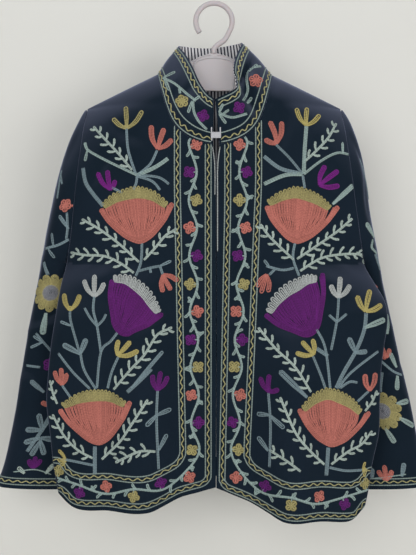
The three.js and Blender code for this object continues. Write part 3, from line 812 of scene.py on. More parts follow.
def evenPath(pts, length):
    run = arcLengths(pts, 0)
    total = run[-1]
    if total < 0.6:
        return []
    count = max(1, round(total / length))
    out, k = [], 0
    for n in range(count + 1):
        want = total * n / count
        while k < len(run) - 2 and run[k + 1] < want:
            k += 1
        f = (want - run[k]) / max(1e-6, run[k + 1] - run[k])
        out.append(pts[k].lerp(pts[k + 1], f))
    return out


def along(pts, t):
    at = clamp01(t) * (len(pts) - 1)
    k = min(len(pts) - 2, int(at))
    return pts[k].lerp(pts[k + 1], at - k)


def wayAt(pts, k, reach=1):
    return pts[min(len(pts) - 1, k + reach)] - pts[max(0, k - reach)]


def pointing(angle):
    return Vector((math.cos(angle), math.sin(angle)))


def shifted(pts, distance):
    out = []
    for k, p in enumerate(pts):
        way = wayAt(pts, k)
        if way.length < 1e-6:
            out.append(p.copy())
        else:
            out.append(p + sideOf(way.normalized()) * distance)
    return out


def sideOf(way):
    return Vector((-way.y, way.x))


stitchStep = 2.0
rowPitch = 1.9
threadHeight = 0.00095
# where the canvas jumps further than this, in metres, a row of stitches ends and another starts
widestJump = 0.011
# how dark the painted shade is down a cord's flanks
flankShade = 0.08


# One row of stitches is a low rounded cord whose beads are the loops of the chain.
def sewRow(work, canvas, pts, thread, width=2.4):
    spots = evenPath(pts, stitchStep)
    hits, last = [], None
    for p in spots + [None]:
        hit = canvas(p.x, p.y) if p is not None else None
        broken = hit is None or (last is not None and (hit[0] - last[0]).length > widestJump)
        if broken:
            layCord(work, hits, thread, width / 1000)
            hits = []
        if hit is not None:
            hits.append(hit)
        last = hit


def layCord(work, hits, thread, width):
    if len(hits) < 2:
        return
    at, phase, tone = len(work["verts"]), random.randrange(2), random.uniform(0.72, 1.0)
    places = [hit[0] for hit in hits]
    for k, (point, normal) in enumerate(hits):
        side = wayAt(places, k).normalized().cross(normal).normalized()
        full = (k + phase) % 2
        bead = 0.62 if k in (0, len(hits) - 1) else (1.12 if full else 0.9)
        rise = normal * threadHeight * bead * random.uniform(0.92, 1.08)
        foot = normal * -0.0001
        reach = side * width / 2 * bead
        work["verts"] += [point + reach + foot, point + rise, point - reach + foot]
        # painted shade on the flanks, a painted highlight on the ridge, lighter on the full beads, times
        # a random tone per cord
        work["shades"] += [flankShade, tone * (1.0 if full else 0.8), flankShade]
        if k:
            a = at + 3 * k
            work["faces"] += [(a - 3, a - 2, a + 1, a), (a - 2, a - 1, a + 2, a + 1)]
            work["threads"] += [threadOrder.index(thread)] * 2


def sewBand(work, canvas, pts, thread, rows, pitch=rowPitch):
    for k in range(rows):
        sewRow(work, canvas, shifted(pts, (k - (rows - 1) / 2) * pitch), thread)


# A leaf or petal is a loop of stitches, narrow at its foot and round at its tip, with rows inside it.
def sewLeaf(work, canvas, pts, thread, width, foot=0.45):
    step = 1.5
    spots = evenPath(pts, step)
    if len(spots) < 4:
        sewRow(work, canvas, pts, thread)
        return
    half = max(0.9, width / 2 - 1.2)
    last = len(spots) - 1
    total = last * step

    def reachAt(k, size):
        t = k / last
        grown = foot + (1 - foot) * easeIn(clamp01(t * 1.7))
        toTip = (1 - t) * total
        rounded = math.sqrt(clamp01(1 - (1 - clamp01(toTip / (size + 0.01))) ** 2))
        return size * grown * rounded

    inset = half
    while inset > -0.6:
        size = max(inset, 0.0)
        if size < 0.7:
            sewRow(work, canvas, spots[:max(3, last)], thread)
            break
        edge = []
        for sign in (1, -1):
            line = []
            for k, p in enumerate(spots):
                line.append(p + sideOf(wayAt(spots, k).normalized()) * sign * reachAt(k, size))
            edge += line if sign > 0 else line[::-1][1:]
        sewRow(work, canvas, edge, thread)
        inset -= rowPitch + 0.05
        # inner loops stop short of the tip
        spots = spots[:max(4, len(spots) - 1)]
        last = len(spots) - 1


def sewTulip(work, canvas, m):
    base = Vector(m["base"])
    tips = [Vector(t) for t in m["tips"]]
    axis = sum(((t - base).normalized() for t in tips), Vector((0, 0))).normalized()
    foot = base - axis * 2.5
    for tip in tips:
        way = tip - base
        turn = axis.x * way.y - axis.y * way.x
        bulge = sideOf(way) * (-0.13 if turn > 0 else 0.13) * min(1, abs(turn) / 8)
        petal = smoothPath([foot, base.lerp(tip, 0.45) - bulge, tip])
        sewLeaf(work, canvas, petal, m["thread"], m["width"], 0.5)
    for r in (1.2, 3.0):
        sewRow(work, canvas, ringOf(base + axis * 0.5, r), m["thread"])


def ringOf(centre, radius, start=0.0, spots=12):
    return [centre + pointing(start + 2 * math.pi * n / spots) * radius for n in range(spots + 1)]


def turned(way, degrees):
    x, y = pointing(math.radians(degrees))
    return Vector((way.x * x - way.y * y, way.x * y + way.y * x))


def sewFern(work, canvas, m):
    stem = smoothPath(m["path"])
    sewBand(work, canvas, stem, m["thread"], 2, 1.7)
    spots = evenPath(stem, 7.6)
    for k in range(1, len(spots)):
        p = spots[k]
        way = (spots[k] - spots[k - 1]).normalized()
        out = turned(way, (1 if k % 2 else -1) * random.uniform(38, 54))
        far = m["twig"] * random.uniform(0.85, 1.12) * (0.8 if k > len(spots) - 3 else 1)
        bend = sideOf(out) * (1.2 if k % 2 else -1.2)
        twig = smoothPath([p, p + out * far * 0.5 + bend, p + out * far])
        sewLeaf(work, canvas, twig, m["thread"], 4.2, 0.3)
    tip, ahead = stem[-1], (stem[-1] - stem[-2]).normalized()
    sewLeaf(work, canvas, [tip - ahead * 2, tip + ahead * 3, tip + ahead * 7], m["thread"], 4.8)


def sewRosette(work, canvas, m):
    centre, radius = Vector(m["centre"]), m["radius"]
    start = random.uniform(0, math.pi)
    petals = 5 if radius > 9.9 else 4
    for k in range(petals):
        angle = start + 2 * math.pi * k / petals
        out = pointing(angle)
        middle = centre + out * radius * 0.54
        sewRow(work, canvas, [centre, middle, middle + out * 2.6], m["thread"], 3.8)
        sewRow(work, canvas, ringOf(middle, radius * 0.38, angle + math.pi), m["thread"], 3.0)


# Lobes side by side between two lines, each a round-headed loop with a row up its middle.
def sewLobes(work, canvas, inside, outside, thread, lobes):
    for k in range(lobes):
        a, b = k / lobes, (k + 1) / lobes
        gap = (b - a) * 0.17
        foot = [along(inside, a + gap), along(inside, b - gap)]
        head = [along(outside, a + gap), along(outside, (a + b) / 2), along(outside, b - gap)]
        crown = head[1] + (head[1] - along(inside, (a + b) / 2)).normalized() * random.uniform(0.2, 1.4)
        dip = [h.lerp(f, 0.14) for h, f in zip((head[0], head[2]), foot)]
        sewRow(work, canvas, smoothPath([foot[0], dip[0], crown, dip[1], foot[1]], 5), thread, 2.7)
        middle = along(inside, (a + b) / 2)
        sewRow(work, canvas, [middle, middle.lerp(crown, 0.5), middle.lerp(crown, 0.84)], thread, 2.7)


# The big flower: bands round its bowl, rows fanning up from the base and a scalloped crown.
def sewFan(work, canvas, m):
    base, leftTip, rightTip = Vector(m["base"]), Vector(m["left"]), Vector(m["right"])
    rim = smoothPath(m["crown"], 10)
    tall = (along(rim, 0.5) - base).length
    middle = (leftTip + rightTip) / 2
    across = (rightTip - leftTip).normalized()
    down = (base - middle).normalized()
    inside = []
    for n, p in enumerate(rim):
        deep = 0.5 + 0.5 * math.sin(math.pi * n / (len(rim) - 1))
        inside.append(p + (base - p).normalized() * tall * 0.2 * deep)

    def bowlPoint(tip, f):
        p = tip.lerp(base, f)
        return p + (p - middle).normalized() * tall * 0.11 * math.sin(math.pi * f)

    leftRun = [leftTip, bowlPoint(leftTip, 0.3), bowlPoint(leftTip, 0.6)]
    rightRun = [bowlPoint(rightTip, 0.6), bowlPoint(rightTip, 0.3), rightTip]
    floorRun = [base - across * 14 - down * 4.2, base + down * 0.8, base + across * 14 - down * 4.2]
    bowl = smoothPath(leftRun + floorRun + rightRun, 7)
    fall, lift = base - leftTip, middle - base
    inwards = 1 if fall.x * lift.y - fall.y * lift.x > 0 else -1
    bands = 4
    for k in range(bands):
        sewRow(work, canvas, shifted(bowl, inwards * rowPitch * (k + 0.3)), m["body"], 2.6)
    floor = shifted(bowl, inwards * rowPitch * (bands - 0.2))
    rows = max(8, round(arcLengths(inside, 0)[-1] / 2.0))
    for k in range(rows + 1):
        t = k / rows
        top = along(inside, t)
        foot = along(floor, 0.5 + (t - 0.5) * 0.44)
        reach = 1.0 if k % 2 == 0 else random.uniform(0.6, 0.85)
        bow = across * (t - 0.5) * tall * 0.12
        ray = smoothPath([top, top.lerp(foot, 0.5 * reach) + bow, top.lerp(foot, reach)])
        sewRow(work, canvas, ray, m["body"], 2.7)
    lobes = max(7, round(arcLengths(rim, 0)[-1] / (7.6 if m["trim"] == "white" else 6.6)))
    sewLobes(work, canvas, inside, rim, m["trim"], lobes)
    sewRow(work, canvas, inside, m["trim"])
    for tip, sides in ((leftTip, ("left", "both")), (rightTip, ("right", "both"))):
        start = bowlPoint(tip, 0.34)
        grown = 4.5 if m["horn"] in sides else 0.5
        end = tip - (base - tip).normalized() * grown
        inner = inwards * (-2.7 if tip is leftTip else 2.7)
        sewLeaf(work, canvas, shifted([start, start.lerp(end, 0.5), end], inner), m["body"], 8.0, 0.8)


def sewDaisy(work, canvas, m):
    centre, radius = Vector(m["centre"]), m["radius"]
    petals = 11
    for k in range(petals):
        out = pointing(2 * math.pi * (k + 0.3) / petals)
        foot, tip = centre + out * radius * 0.36, centre + out * radius * random.uniform(0.97, 1.04)
        width = 2 * math.pi * radius * 0.8 / petals
        sewLeaf(work, canvas, [foot, foot.lerp(tip, 0.5), tip], m["thread"], width, 0.7)
    for turn in range(6):
        sewRow(work, canvas, ringOf(centre, 1 + (radius * 0.4 - 1) * turn / 5, turn, 40), m["core"], 2.6)


# Two lines with a wavy one between them.
def sewLineSet(work, canvas, path, apart=8.6, swing=1.7, wavePlace=0.0):
    spots = evenPath([Vector(p) for p in path], 1.5)
    for side in (-1, 1):
        sewRow(work, canvas, shifted(spots, side * apart / 2), "line", 2.2)
    turns = evenPath(spots, 6.6)
    wave = []
    for k, p in enumerate(turns):
        away = wavePlace + swing * (1 if k % 2 else -1) * random.uniform(0.75, 1.2)
        wave.append(p + sideOf(wayAt(turns, k).normalized()) * away)
    sewRow(work, canvas, smoothPath(wave, 4), "cream", 2.1)


# The border's vine swings past its rosettes, one on each side in turn, and twigs fill the bays.
def sewVine(work, canvas, middleLine, start, spacing, colours, firstSide):
    middle = evenPath(middleLine, 1.0)
    vine, rosettes, k = [middle[max(0, start - 24)]], [], 0
    while k < len(colours) and start + k * spacing < len(middle) - 3:
        at = int(start + k * spacing)
        out = sideOf(wayAt(middle, at, 2).normalized()) * (firstSide if k % 2 == 0 else -firstSide)
        rosettes.append((colours[k], middle[at] + out * 5.2))
        vine.append(middle[at] - out * 6.0)
        k += 1
    path = smoothPath(vine, 8)
    sewBand(work, canvas, path, "sage", 2, 1.5)
    spots = evenPath(path, 10.5)
    for n in range(1, len(spots) - 1):
        sign = 1 if n % 2 else -1
        lean = sign * random.uniform(34, 58) + (180 if n % 5 == 0 else 0)
        out = turned(wayAt(spots, n).normalized(), lean)
        tip = spots[n] + out * random.uniform(10, 13)
        if min((p - tip).length for thread, p in rosettes) > 10.0:
            bow = spots[n].lerp(tip, 0.5) + sideOf(out) * sign * -1.4
            sewLeaf(work, canvas, smoothPath([spots[n], bow, tip]), "sage", 4.8, 0.4)
    for thread, p in rosettes:
        root = min(path, key=lambda q: (q - p).length_squared)
        sewRow(work, canvas, [root, root.lerp(p, 0.5)], "sage", 2.4)
        sewRosette(work, canvas, {"centre": p, "radius": random.uniform(8.8, 9.6), "thread": thread})


def sewStem(work, canvas, m):
    sewBand(work, canvas, smoothPath(m["path"]), m["thread"], m["rows"])


def sewBlade(work, canvas, m):
    sewLeaf(work, canvas, m["path"], m["thread"], m["width"])


sewers = {"tulip": sewTulip, "fern": sewFern, "rosette": sewRosette, "daisy": sewDaisy, "fan": sewFan,
          "stem": sewStem, "leaf": sewBlade}


# ---- the embroidery charts, in squares from the top left ----
chartMiddle = {"column": 208, "row": 277.5, "x": -9.3, "z": -421}
squares = {"front": 1.488, "sleeve": 1.544, "collar": 1.496}


def charted(square, spot):
    return Vector((chartMiddle["x"] + (spot[0] - chartMiddle["column"]) * square,
                   chartMiddle["z"] - (spot[1] - chartMiddle["row"]) * square))


def sewMotif(work, canvas, square, motif):
    m = dict(motif)
    for part in ("base", "left", "right", "centre"):
        if part in m:
            m[part] = charted(square, m[part])
    for part in ("tips", "path", "crown"):
        if part in m:
            m[part] = [charted(square, p) for p in m[part]]
    sewers[m["kind"]](work, canvas, m)


def fan(body, trim, base, left, right, crown, horn):
    return {"kind": "fan", "body": body, "trim": trim, "base": base, "left": left, "right": right,
            "crown": crown, "horn": horn}


def tulip(thread, base, tips, width=8):
    return {"kind": "tulip", "thread": thread, "base": base, "tips": tips, "width": width}


def stem(path, thread="slate", rows=2):
    return {"kind": "stem", "thread": thread, "path": path, "rows": rows}


def fern(path, twig=13.5):
    return {"kind": "fern", "thread": "fern", "path": path, "twig": twig}


def leaf(base, tip, width, thread="slate"):
    return {"kind": "leaf", "thread": thread, "path": [base, tip], "width": width}


def rosette(thread, centre, radius=9.5):
    return {"kind": "rosette", "thread": thread, "centre": centre, "radius": radius}


def daisy(centre, radius=30):
    return {"kind": "daisy", "thread": "olive", "core": "grey", "centre": centre, "radius": radius}


rightMotifs = [
    tulip("olive", (126, 126), [(112, 117), (125, 105), (142, 110)], 7.5),
    stem([(126, 127), (128, 150), (136, 175)]),
    tulip("coral", (158, 147), [(151, 125), (164, 128), (172, 139)], 8.5),
    stem([(157, 150), (150, 164), (137, 175)]),
    stem([(84, 141), (87, 149), (108, 161), (137, 175)], "sage"),
    leaf((87, 151), (83, 141), 5, "sage"),
    leaf((86, 150), (84, 160), 5, "sage"),
    stem([(82, 167), (85, 182), (93, 194), (103, 206)], rows=3),
    stem([(137, 175), (155, 167), (168, 158)], "sage", 3),
    stem([(137, 175), (158, 177), (169, 184)]),
    stem([(137, 176), (152, 181), (160, 190)]),
    stem([(137, 175), (136, 183), (133, 190)]),
    fern([(132, 170), (118, 153), (104, 138), (95, 128)]),
    tulip("magenta", (110, 188), [(97, 172), (107, 170), (115, 180)], 8),
    stem([(111, 187), (117, 190), (122, 193)]),
    fan("coral", "olive", (140, 243), (99, 210), (172, 206),
        [(101, 204), (113, 194), (128, 188), (141, 187), (155, 192), (168, 203)], "right"),
    stem([(142, 243), (141, 262), (136, 276)]),
    fern([(139, 262), (118, 243), (99, 229), (85, 221)]),
    fern([(144, 260), (156, 247), (165, 236), (173, 231)]),
    fern([(134, 273), (120, 263), (104, 256), (86, 255), (73, 253)]),
    stem([(139, 271), (150, 268), (160, 266)]),
    leaf((160, 266), (171, 261), 5),
    stem([(150, 268), (151, 273)]),
    stem([(160, 266), (163, 275)]),
    tulip("coral", (164, 276), [(163, 292), (171, 290), (178, 281)], 8),
    fan("purple", "white", (119, 333), (110, 280), (161, 316),
        [(113, 276), (126, 275), (138, 280), (149, 289), (157, 302), (161, 311)], "right"),
    stem([(118, 332), (111, 341), (101, 352), (97, 388)]),
    tulip("white", (94, 295), [(83, 280), (94, 275), (104, 283)], 8),
    stem([(94, 296), (93, 310), (97, 326), (101, 352)]),
    stem([(97, 326), (90, 318), (84, 308)]),
    stem([(97, 326), (103, 320), (106, 314)]),
    tulip("yellow", (69, 309), [(62, 294), (79, 295)], 8.5),
    stem([(69, 311), (70, 322), (79, 352)]),
    leaf((70, 326), (59, 322), 5),
    leaf((80, 354), (62, 345), 9),
    leaf((80, 354), (86, 339), 9),
    stem([(80, 352), (84, 370), (96, 389)]),
    tulip("yellow", (119, 354), [(119, 340), (131, 341), (139, 350)], 8),
    stem([(119, 356), (112, 372), (108, 388)]),
    fern([(114, 389), (131, 369), (145, 354), (157, 335), (168, 329)]),
    leaf((132, 387), (163, 351), 6),
    stem([(128, 391), (140, 380), (152, 368)], rows=3),
    tulip("coral", (61, 384), [(53, 372), (60, 369), (66, 374)], 8),
    stem([(61, 386), (70, 398)]),
    stem([(57, 354), (72, 372), (90, 389)]),
    fan("coral", "olive", (100, 444), (57, 412), (131, 403),
        [(60, 405), (74, 396), (88, 391), (101, 390), (114, 393), (127, 401)], "right"),
    stem([(95, 446), (95, 460), (95, 474)], rows=3),
    stem([(94, 465), (78, 463), (62, 461)]),
    tulip("yellow", (63, 462), [(57, 452), (56, 462), (59, 468)], 6),
    tulip("purple", (158, 388), [(153, 374), (161, 371), (168, 376)], 8),
    stem([(158, 389), (157, 420), (159, 468)]),
    leaf((157, 414), (147, 424), 7.5),
    leaf((157, 414), (171, 409), 7.5),
    leaf((159, 449), (167, 434), 7),
    fern([(102, 459), (120, 441), (131, 425), (146, 402)]),
    fern([(156, 450), (140, 449), (120, 459)]),
    fern([(93, 458), (76, 450), (62, 436), (53, 420)]),
    fern([(56, 405), (52, 396), (49, 386)], 9),
]
leftMotifs = [
    tulip("coral", (276, 142), [(265, 139), (270, 121), (282, 121)], 8.5),
    stem([(276, 144), (290, 158), (303, 174)]),
    tulip("yellow", (307, 123), [(297, 107), (308, 106), (321, 113)], 7.5),
    stem([(307, 125), (305, 150), (304, 174)], "sage", 3),
    fern([(305, 161), (317, 150), (329, 137), (336, 125)]),
    stem([(304, 174), (322, 160), (338, 152), (350, 153)], "sage"),
    leaf((344, 153), (344, 141), 4.5, "sage"),
    stem([(299, 173), (280, 168), (264, 156)], rows=3),
    stem([(303, 174), (285, 175), (264, 184)], "sage", 3),
    stem([(303, 175), (305, 188)]),
    tulip("magenta", (321, 184), [(326, 165), (339, 170), (340, 185)], 8.5),
    fan("coral", "olive", (297, 243), (265, 207), (338, 209),
        [(267, 201), (280, 192), (295, 187), (309, 190), (322, 197), (332, 206)], "right"),
    leaf((333, 204), (355, 184), 8, "sage"),
    stem([(295, 243), (293, 258), (299, 276)]),
    fern([(294, 260), (281, 248), (269, 236), (263, 228)]),
    fern([(297, 259), (318, 245), (337, 232), (350, 221)]),
    fern([(300, 271), (322, 258), (345, 254), (360, 254)]),
    fern([(358, 252), (368, 258), (378, 268)], 10),
    stem([(294, 268), (282, 270), (266, 266)]),
    leaf((270, 268), (264, 260), 5),
    tulip("coral", (266, 276), [(257, 287), (261, 293), (268, 292)], 7.5),
    stem([(275, 269), (269, 275)]),
    fan("purple", "white", (313, 334), (264, 316), (324, 276),
        [(266, 311), (272, 298), (283, 286), (296, 279), (307, 275), (317, 276)], "right"),
    stem([(316, 329), (325, 348), (330, 388)]),
    tulip("white", (339, 296), [(331, 285), (341, 277), (351, 285)], 8.5),
    stem([(339, 297), (337, 320), (331, 350)]),
    stem([(337, 322), (329, 315)]),
    stem([(337, 322), (347, 314)]),
    tulip("yellow", (367, 310), [(358, 296), (372, 290), (384, 305)], 9),
    stem([(367, 313), (365, 330), (357, 350), (344, 372), (336, 388)], rows=3),
    leaf((365, 328), (387, 320), 9, "sage"),
    leaf((356, 353), (349, 338), 9),
    leaf((355, 353), (368, 352), 8),
    tulip("yellow", (312, 353), [(295, 352), (301, 341), (312, 339)], 8),
    stem([(312, 355), (320, 374), (325, 388)]),
    stem([(328, 356), (316, 348)], rows=3),
    fern([(310, 391), (294, 366), (276, 349), (261, 331)]),
    leaf((306, 396), (279, 370), 9),
    stem([(338, 388), (352, 372), (380, 352)]),
    stem([(340, 388), (350, 382), (358, 383)]),
    tulip("purple", (269, 390), [(260, 377), (269, 374), (278, 388)], 8),
    stem([(268, 392), (270, 425), (269, 466)]),
    leaf((269, 414), (257, 414), 7.5),
    leaf((269, 414), (283, 426), 7.5),
    leaf((268, 450), (258, 437), 7.5),
    fan("coral", "olive", (331, 446), (298, 410), (370, 416),
        [(300, 405), (312, 394), (327, 388), (341, 392), (354, 400), (363, 411)], "both"),
    stem([(328, 447), (327, 462), (326, 475)], rows=3),
    stem([(329, 467), (346, 471), (364, 472)]),
    tulip("yellow", (366, 472), [(367, 464), (369, 472), (367, 479)], 5),
    tulip("coral", (371, 390), [(366, 375), (377, 374)], 9),
    stem([(370, 392), (358, 402)]),
    fern([(324, 464), (309, 449), (294, 430), (281, 400)]),
    fern([(331, 464), (348, 452), (362, 446), (371, 436)]),
    fern([(299, 468), (287, 459), (273, 451)]),
    fern([(366, 412), (373, 404), (377, 396)], 9),
]
backMotifs = [
    tulip("yellow", (207, 132), [(196, 120), (207, 114), (218, 121)], 8),
    stem([(207, 134), (209, 150), (212, 166)]),
    leaf((209, 152), (198, 142), 7),
    fan("coral", "olive", (214, 224), (178, 186), (250, 188),
        [(181, 181), (194, 170), (208, 166), (222, 167), (236, 173), (247, 183)], "both"),
    stem([(214, 225), (212, 260), (214, 300)]),
    fern([(213, 262), (196, 246), (182, 228)]),
    fern([(213, 266), (231, 248), (246, 230)]),
    leaf((213, 296), (194, 284), 9),
    leaf((214, 299), (234, 290), 9),
    fan("purple", "white", (214, 372), (178, 334), (250, 338),
        [(181, 329), (194, 318), (208, 313), (222, 315), (236, 322), (247, 332)], "left"),
    stem([(214, 373), (213, 410), (215, 452)], rows=3),
    fern([(213, 420), (196, 402), (182, 384)]),
    fern([(214, 424), (232, 406), (246, 388)]),
    leaf((214, 446), (196, 438), 8),
    leaf((215, 448), (234, 440), 8),
]
rightSleeveMotifs = [
    rosette("coral", (68, 207), 10), stem([(63, 172), (66, 190), (67, 200)]),
    leaf((66, 186), (60, 177), 5), stem([(69, 214), (72, 228), (72, 240)]),
    leaf((71, 230), (59, 217), 6), stem([(72, 240), (60, 246), (46, 249)]),
    leaf((56, 247), (52, 234), 5), leaf((50, 249), (58, 258), 5), stem([(45, 262), (50, 275)], rows=3),
    daisy((50, 293), 29), leaf((44, 313), (44, 334), 10, "sage"),
    stem([(34, 333), (44, 344), (54, 354)]), leaf((42, 342), (32, 336), 5),
    leaf((42, 342), (30, 348), 5), rosette("purple", (48, 364), 11), stem([(24, 366), (40, 367)]),
    leaf((42, 392), (27, 381), 8), tulip("coral", (49, 404), [(37, 402), (44, 391), (50, 390)], 8),
    leaf((38, 430), (22, 430), 9), leaf((38, 430), (32, 414), 9),
    stem([(48, 416), (38, 436), (30, 452)], rows=3), leaf((37, 438), (22, 443), 9),
    leaf((37, 440), (44, 455), 9), leaf((38, 438), (53, 440), 9), leaf((36, 442), (30, 456), 9),
    leaf((38, 430), (44, 416), 8), tulip("purple", (31, 467), [(25, 460), (31, 457), (37, 460)], 8),
    leaf((22, 474), (14, 468), 7, "fern"), leaf((40, 474), (46, 465), 8, "fern"),
    stem([(10, 473), (30, 470), (48, 475)], "sage", 1),
]
leftSleeveMotifs = [
    stem([(357, 160), (361, 180), (364, 200)]), leaf((372, 238), (363, 224), 10, "sage"),
    stem([(370, 240), (367, 248), (374, 254)], "sage"), stem([(373, 254), (379, 270)], rows=3),
    rosette("coral", (372, 290), 10), stem([(374, 300), (381, 318)]),
    leaf((388, 334), (391, 314), 10, "sage"),
    tulip("coral", (387, 356), [(383, 342), (393, 349), (384, 358)], 8),
    leaf((400, 368), (395, 353), 8, "sage"), stem([(379, 358), (391, 371), (401, 376)]),
    leaf((400, 376), (396, 390), 8, "sage"), stem([(384, 372), (380, 384), (378, 392)]),
    daisy((384, 411), 30), leaf((400, 404), (414, 402), 9, "sage"),
    leaf((401, 418), (416, 428), 9, "sage"), leaf((389, 428), (396, 443), 9, "sage"),
    tulip("coral", (391, 479), [(384, 471), (391, 466), (398, 471)], 8),
    leaf((376, 479), (377, 469), 8), leaf((405, 477), (409, 464), 8),
    stem([(376, 479), (392, 477), (410, 475)], "sage", 1),
]
collarMotifs = [
    rosette("olive", (182, 101), 10), rosette("purple", (203, 116), 9.5),
    rosette("purple", (239, 108), 9.5), rosette("coral", (256, 80), 11),
    stem([(162, 76), (176, 84), (190, 96), (196, 101)], "sage"), leaf((163, 76), (175, 70), 5, "sage"),
    leaf((164, 78), (169, 90), 5, "sage"), stem([(179, 87), (180, 93)], "sage"),
    leaf((192, 101), (188, 113), 5, "sage"), leaf((193, 101), (200, 96), 5, "sage"),
    stem([(193, 101), (194, 112), (199, 122), (207, 130)], "sage"),
    stem([(219, 113), (232, 118), (247, 114)], "sage"), leaf((219, 114), (226, 124), 5, "sage"),
    leaf((219, 113), (223, 104), 5, "sage"), leaf((222, 115), (229, 110), 4.5, "sage"),
    stem([(262, 63), (250, 67), (247, 78), (248, 90), (243, 101)], "sage"),
    leaf((248, 70), (258, 61), 5, "sage"), leaf((247, 103), (252, 97), 6, "sage"),
]


# ---- borders ----
# Each front has one line set near its edge and hem and one further in. The vine runs between them.
borders = {-1: {"edge": (12, 12, 11), "inner": (58, 50, 51), "vineStart": 12, "closeEnd": -300},
           1: {"edge": (17, 9, 9), "inner": (63, 46, 56), "vineStart": 15, "closeEnd": -392}}
vineColours = ["coral", "purple", "olive"] * 6
rosetteSpacing = 41.6
closeRow = 1.6


def borderPath(side, insetTop, insetLow, rise):
    topZ = sample(neckline, "x", "z", insetTop)
    cornerX = openingX + side * insetLow
    bend = 10 + 0.2 * insetLow

    def hemPoint(x):
        return Vector((x, sample(hems[side], "x", "z", abs(x)) + rise))

    corner = hemPoint(cornerX)
    first = Vector((cornerX, corner.y + bend))
    last = hemPoint(cornerX + side * bend)
    path = [Vector((openingX + side * insetTop, topZ)), Vector((openingX + side * insetTop, topZ - 90))]
    path += [path[-1].lerp(first, k / 6) for k in range(1, 6)]
    path += [first.lerp(corner, k / 4).lerp(corner.lerp(last, k / 4), k / 4) for k in range(5)]
    steps = 14
    path += [hemPoint(last.x + (side * 244 - last.x) * k / steps) for k in range(1, steps + 1)]
    return smoothPath(path, 4)


def finishWork(name, work):
    mesh = bpy.data.meshes.new(name)
    mesh.from_pydata(work["verts"], [], work["faces"])
    used = sorted(set(work["threads"]))
    for tag in used:
        mesh.materials.append(threadFinish[threadOrder[tag]])
    mesh.polygons.foreach_set("material_index", [used.index(tag) for tag in work["threads"]])
    # each cord's painted shade and painted highlight, one value per vertex
    shade = mesh.color_attributes.new("shade", "FLOAT_COLOR", "POINT")
    shade.data.foreach_set("color", [c for v in work["shades"] for c in (v, v, v, 1)])
    mesh.shade_smooth()
    mesh.update()
    piece = addPiece(name, mesh, None, None)
    print(name, 2 * len(work["faces"]), "triangles of thread")
    return piece


def sewFront(name, cloth, side, motifs):
    work, canvas = newWork(), facingCanvas(cloth["tree"], -1)
    for m in motifs:
        sewMotif(work, canvas, squares["front"], m)
    border = borders[side]
    edge, inner = borderPath(side, *border["edge"]), borderPath(side, *border["inner"])
    sewLineSet(work, canvas, edge)
    sewLineSet(work, canvas, inner)
    middle = borderPath(side, *[(a + b) / 2 for a, b in zip(border["edge"], border["inner"])])
    sewVine(work, canvas, middle, border["vineStart"], rosetteSpacing, vineColours, -side)
    # a pale row close along the opening
    close = [Vector((openingX + side * (sample(openingGap, "z", "half", z) + closeRow), z))
             for z in range(-226, border["closeEnd"], -12)]
    sewRow(work, canvas, close, "white", 1.7)
    return finishWork(name, work)


threadRight = sewFront("threadRight", frontRight, -1, rightMotifs)
threadLeft = sewFront("threadLeft", frontLeft, 1, leftMotifs)
print("fronts embroidered")


# The back takes the fronts' flowers, a middle column and the hem's border.
def sewBack():
    work, canvas = newWork(), facingCanvas(backPanel["tree"], 1)
    lift = 14
    for m in rightMotifs + leftMotifs + backMotifs:
        sewMotif(work, lambda x, z: canvas(x, z - lift), squares["front"], m)

    def hemLine(rise):
        spots = [-240 + 12 * k for k in range(41)]
        return [Vector((x, backHemZ(-1 if x < 0 else 1, min(1.0, abs(x) / 232)) + rise)) for x in spots]

    sewLineSet(work, canvas, hemLine(11))
    sewLineSet(work, canvas, hemLine(52))
    sewVine(work, canvas, hemLine(31), 26, rosetteSpacing, vineColours, 1)
    return finishWork("threadBack", work)


threadBack = sewBack()


def sewSleeve(side, motifs, name):
    grid = sleeves[side]
    onSleeve = gridCanvas(grid, velvet, True)
    work, square = newWork(), squares["sleeve"]

    def arcFrom(x, z):
        i = min(range(len(grid["keys"])), key=lambda k: abs(grid["keys"][k] - z))
        j = 40
        while j > 1 and side * grid["points"][i][j].x > side * x:
            j -= 1
        return grid["arcs"][i][j]

    for m in motifs:
        anchor = charted(square, m.get("centre") or m.get("base") or m["path"][0])
        start = arcFrom(anchor.x, anchor.y)
        for face in (1, -1):
            # start is negative in front; going inwards takes a place further from the fold
            sewMotif(work, lambda x, z: onSleeve(face * (start - side * (anchor.x - x)), z), square, m)
    cuff = grid["keys"][-1]
    half = grid["arcs"][-1][-1]
    sewLineSet(work, onSleeve, [(-half + 2 * half * k / 60, cuff + 11) for k in range(61)], 9.5)
    return finishWork(name, work)


threadSleeveRight = sewSleeve(-1, rightSleeveMotifs, "threadSleeveRight")
threadSleeveLeft = sewSleeve(1, leftSleeveMotifs, "threadSleeveLeft")


def sewCollar():
    work = newWork()
    onCollar, canvas = gridCanvas(collar, velvet), facingCanvas(collarPiece["tree"], -1)
    full = collar["arcs"][0][-1]
    runs = [3 + (full - 6) * k / 90 for k in range(91)]
    sewLineSet(work, onCollar, [(s, 8.5) for s in runs], 12, 1.8, -1.6)
    sewLineSet(work, onCollar, [(s, 53.5) for s in runs], 10, 1.8)
    for m in collarMotifs:
        sewMotif(work, canvas, squares["collar"], m)
    # round the back the flowers go on
    for k, thread in enumerate(["coral", "purple", "olive", "coral"]):
        s = full * (0.38 + 0.08 * k)
        sewRosette(work, onCollar, {"centre": (s, 32), "radius": 9, "thread": thread})
        twig = smoothPath([(s - 20, 26), (s - 10, 40), (s + 10, 23), (s + 20, 36)])
        sewBand(work, onCollar, twig, "sage", 2, 1.6)
        for turn, tipHeight in ((-1, 20), (1, 42)):
            blade = [Vector((s + 12 * turn, 30)), Vector((s + 17 * turn, tipHeight))]
            sewLeaf(work, onCollar, blade, "sage", 4.4)
    return finishWork("threadCollar", work)


threadCollar = sewCollar()
print("sleeves, back and collar embroidered")


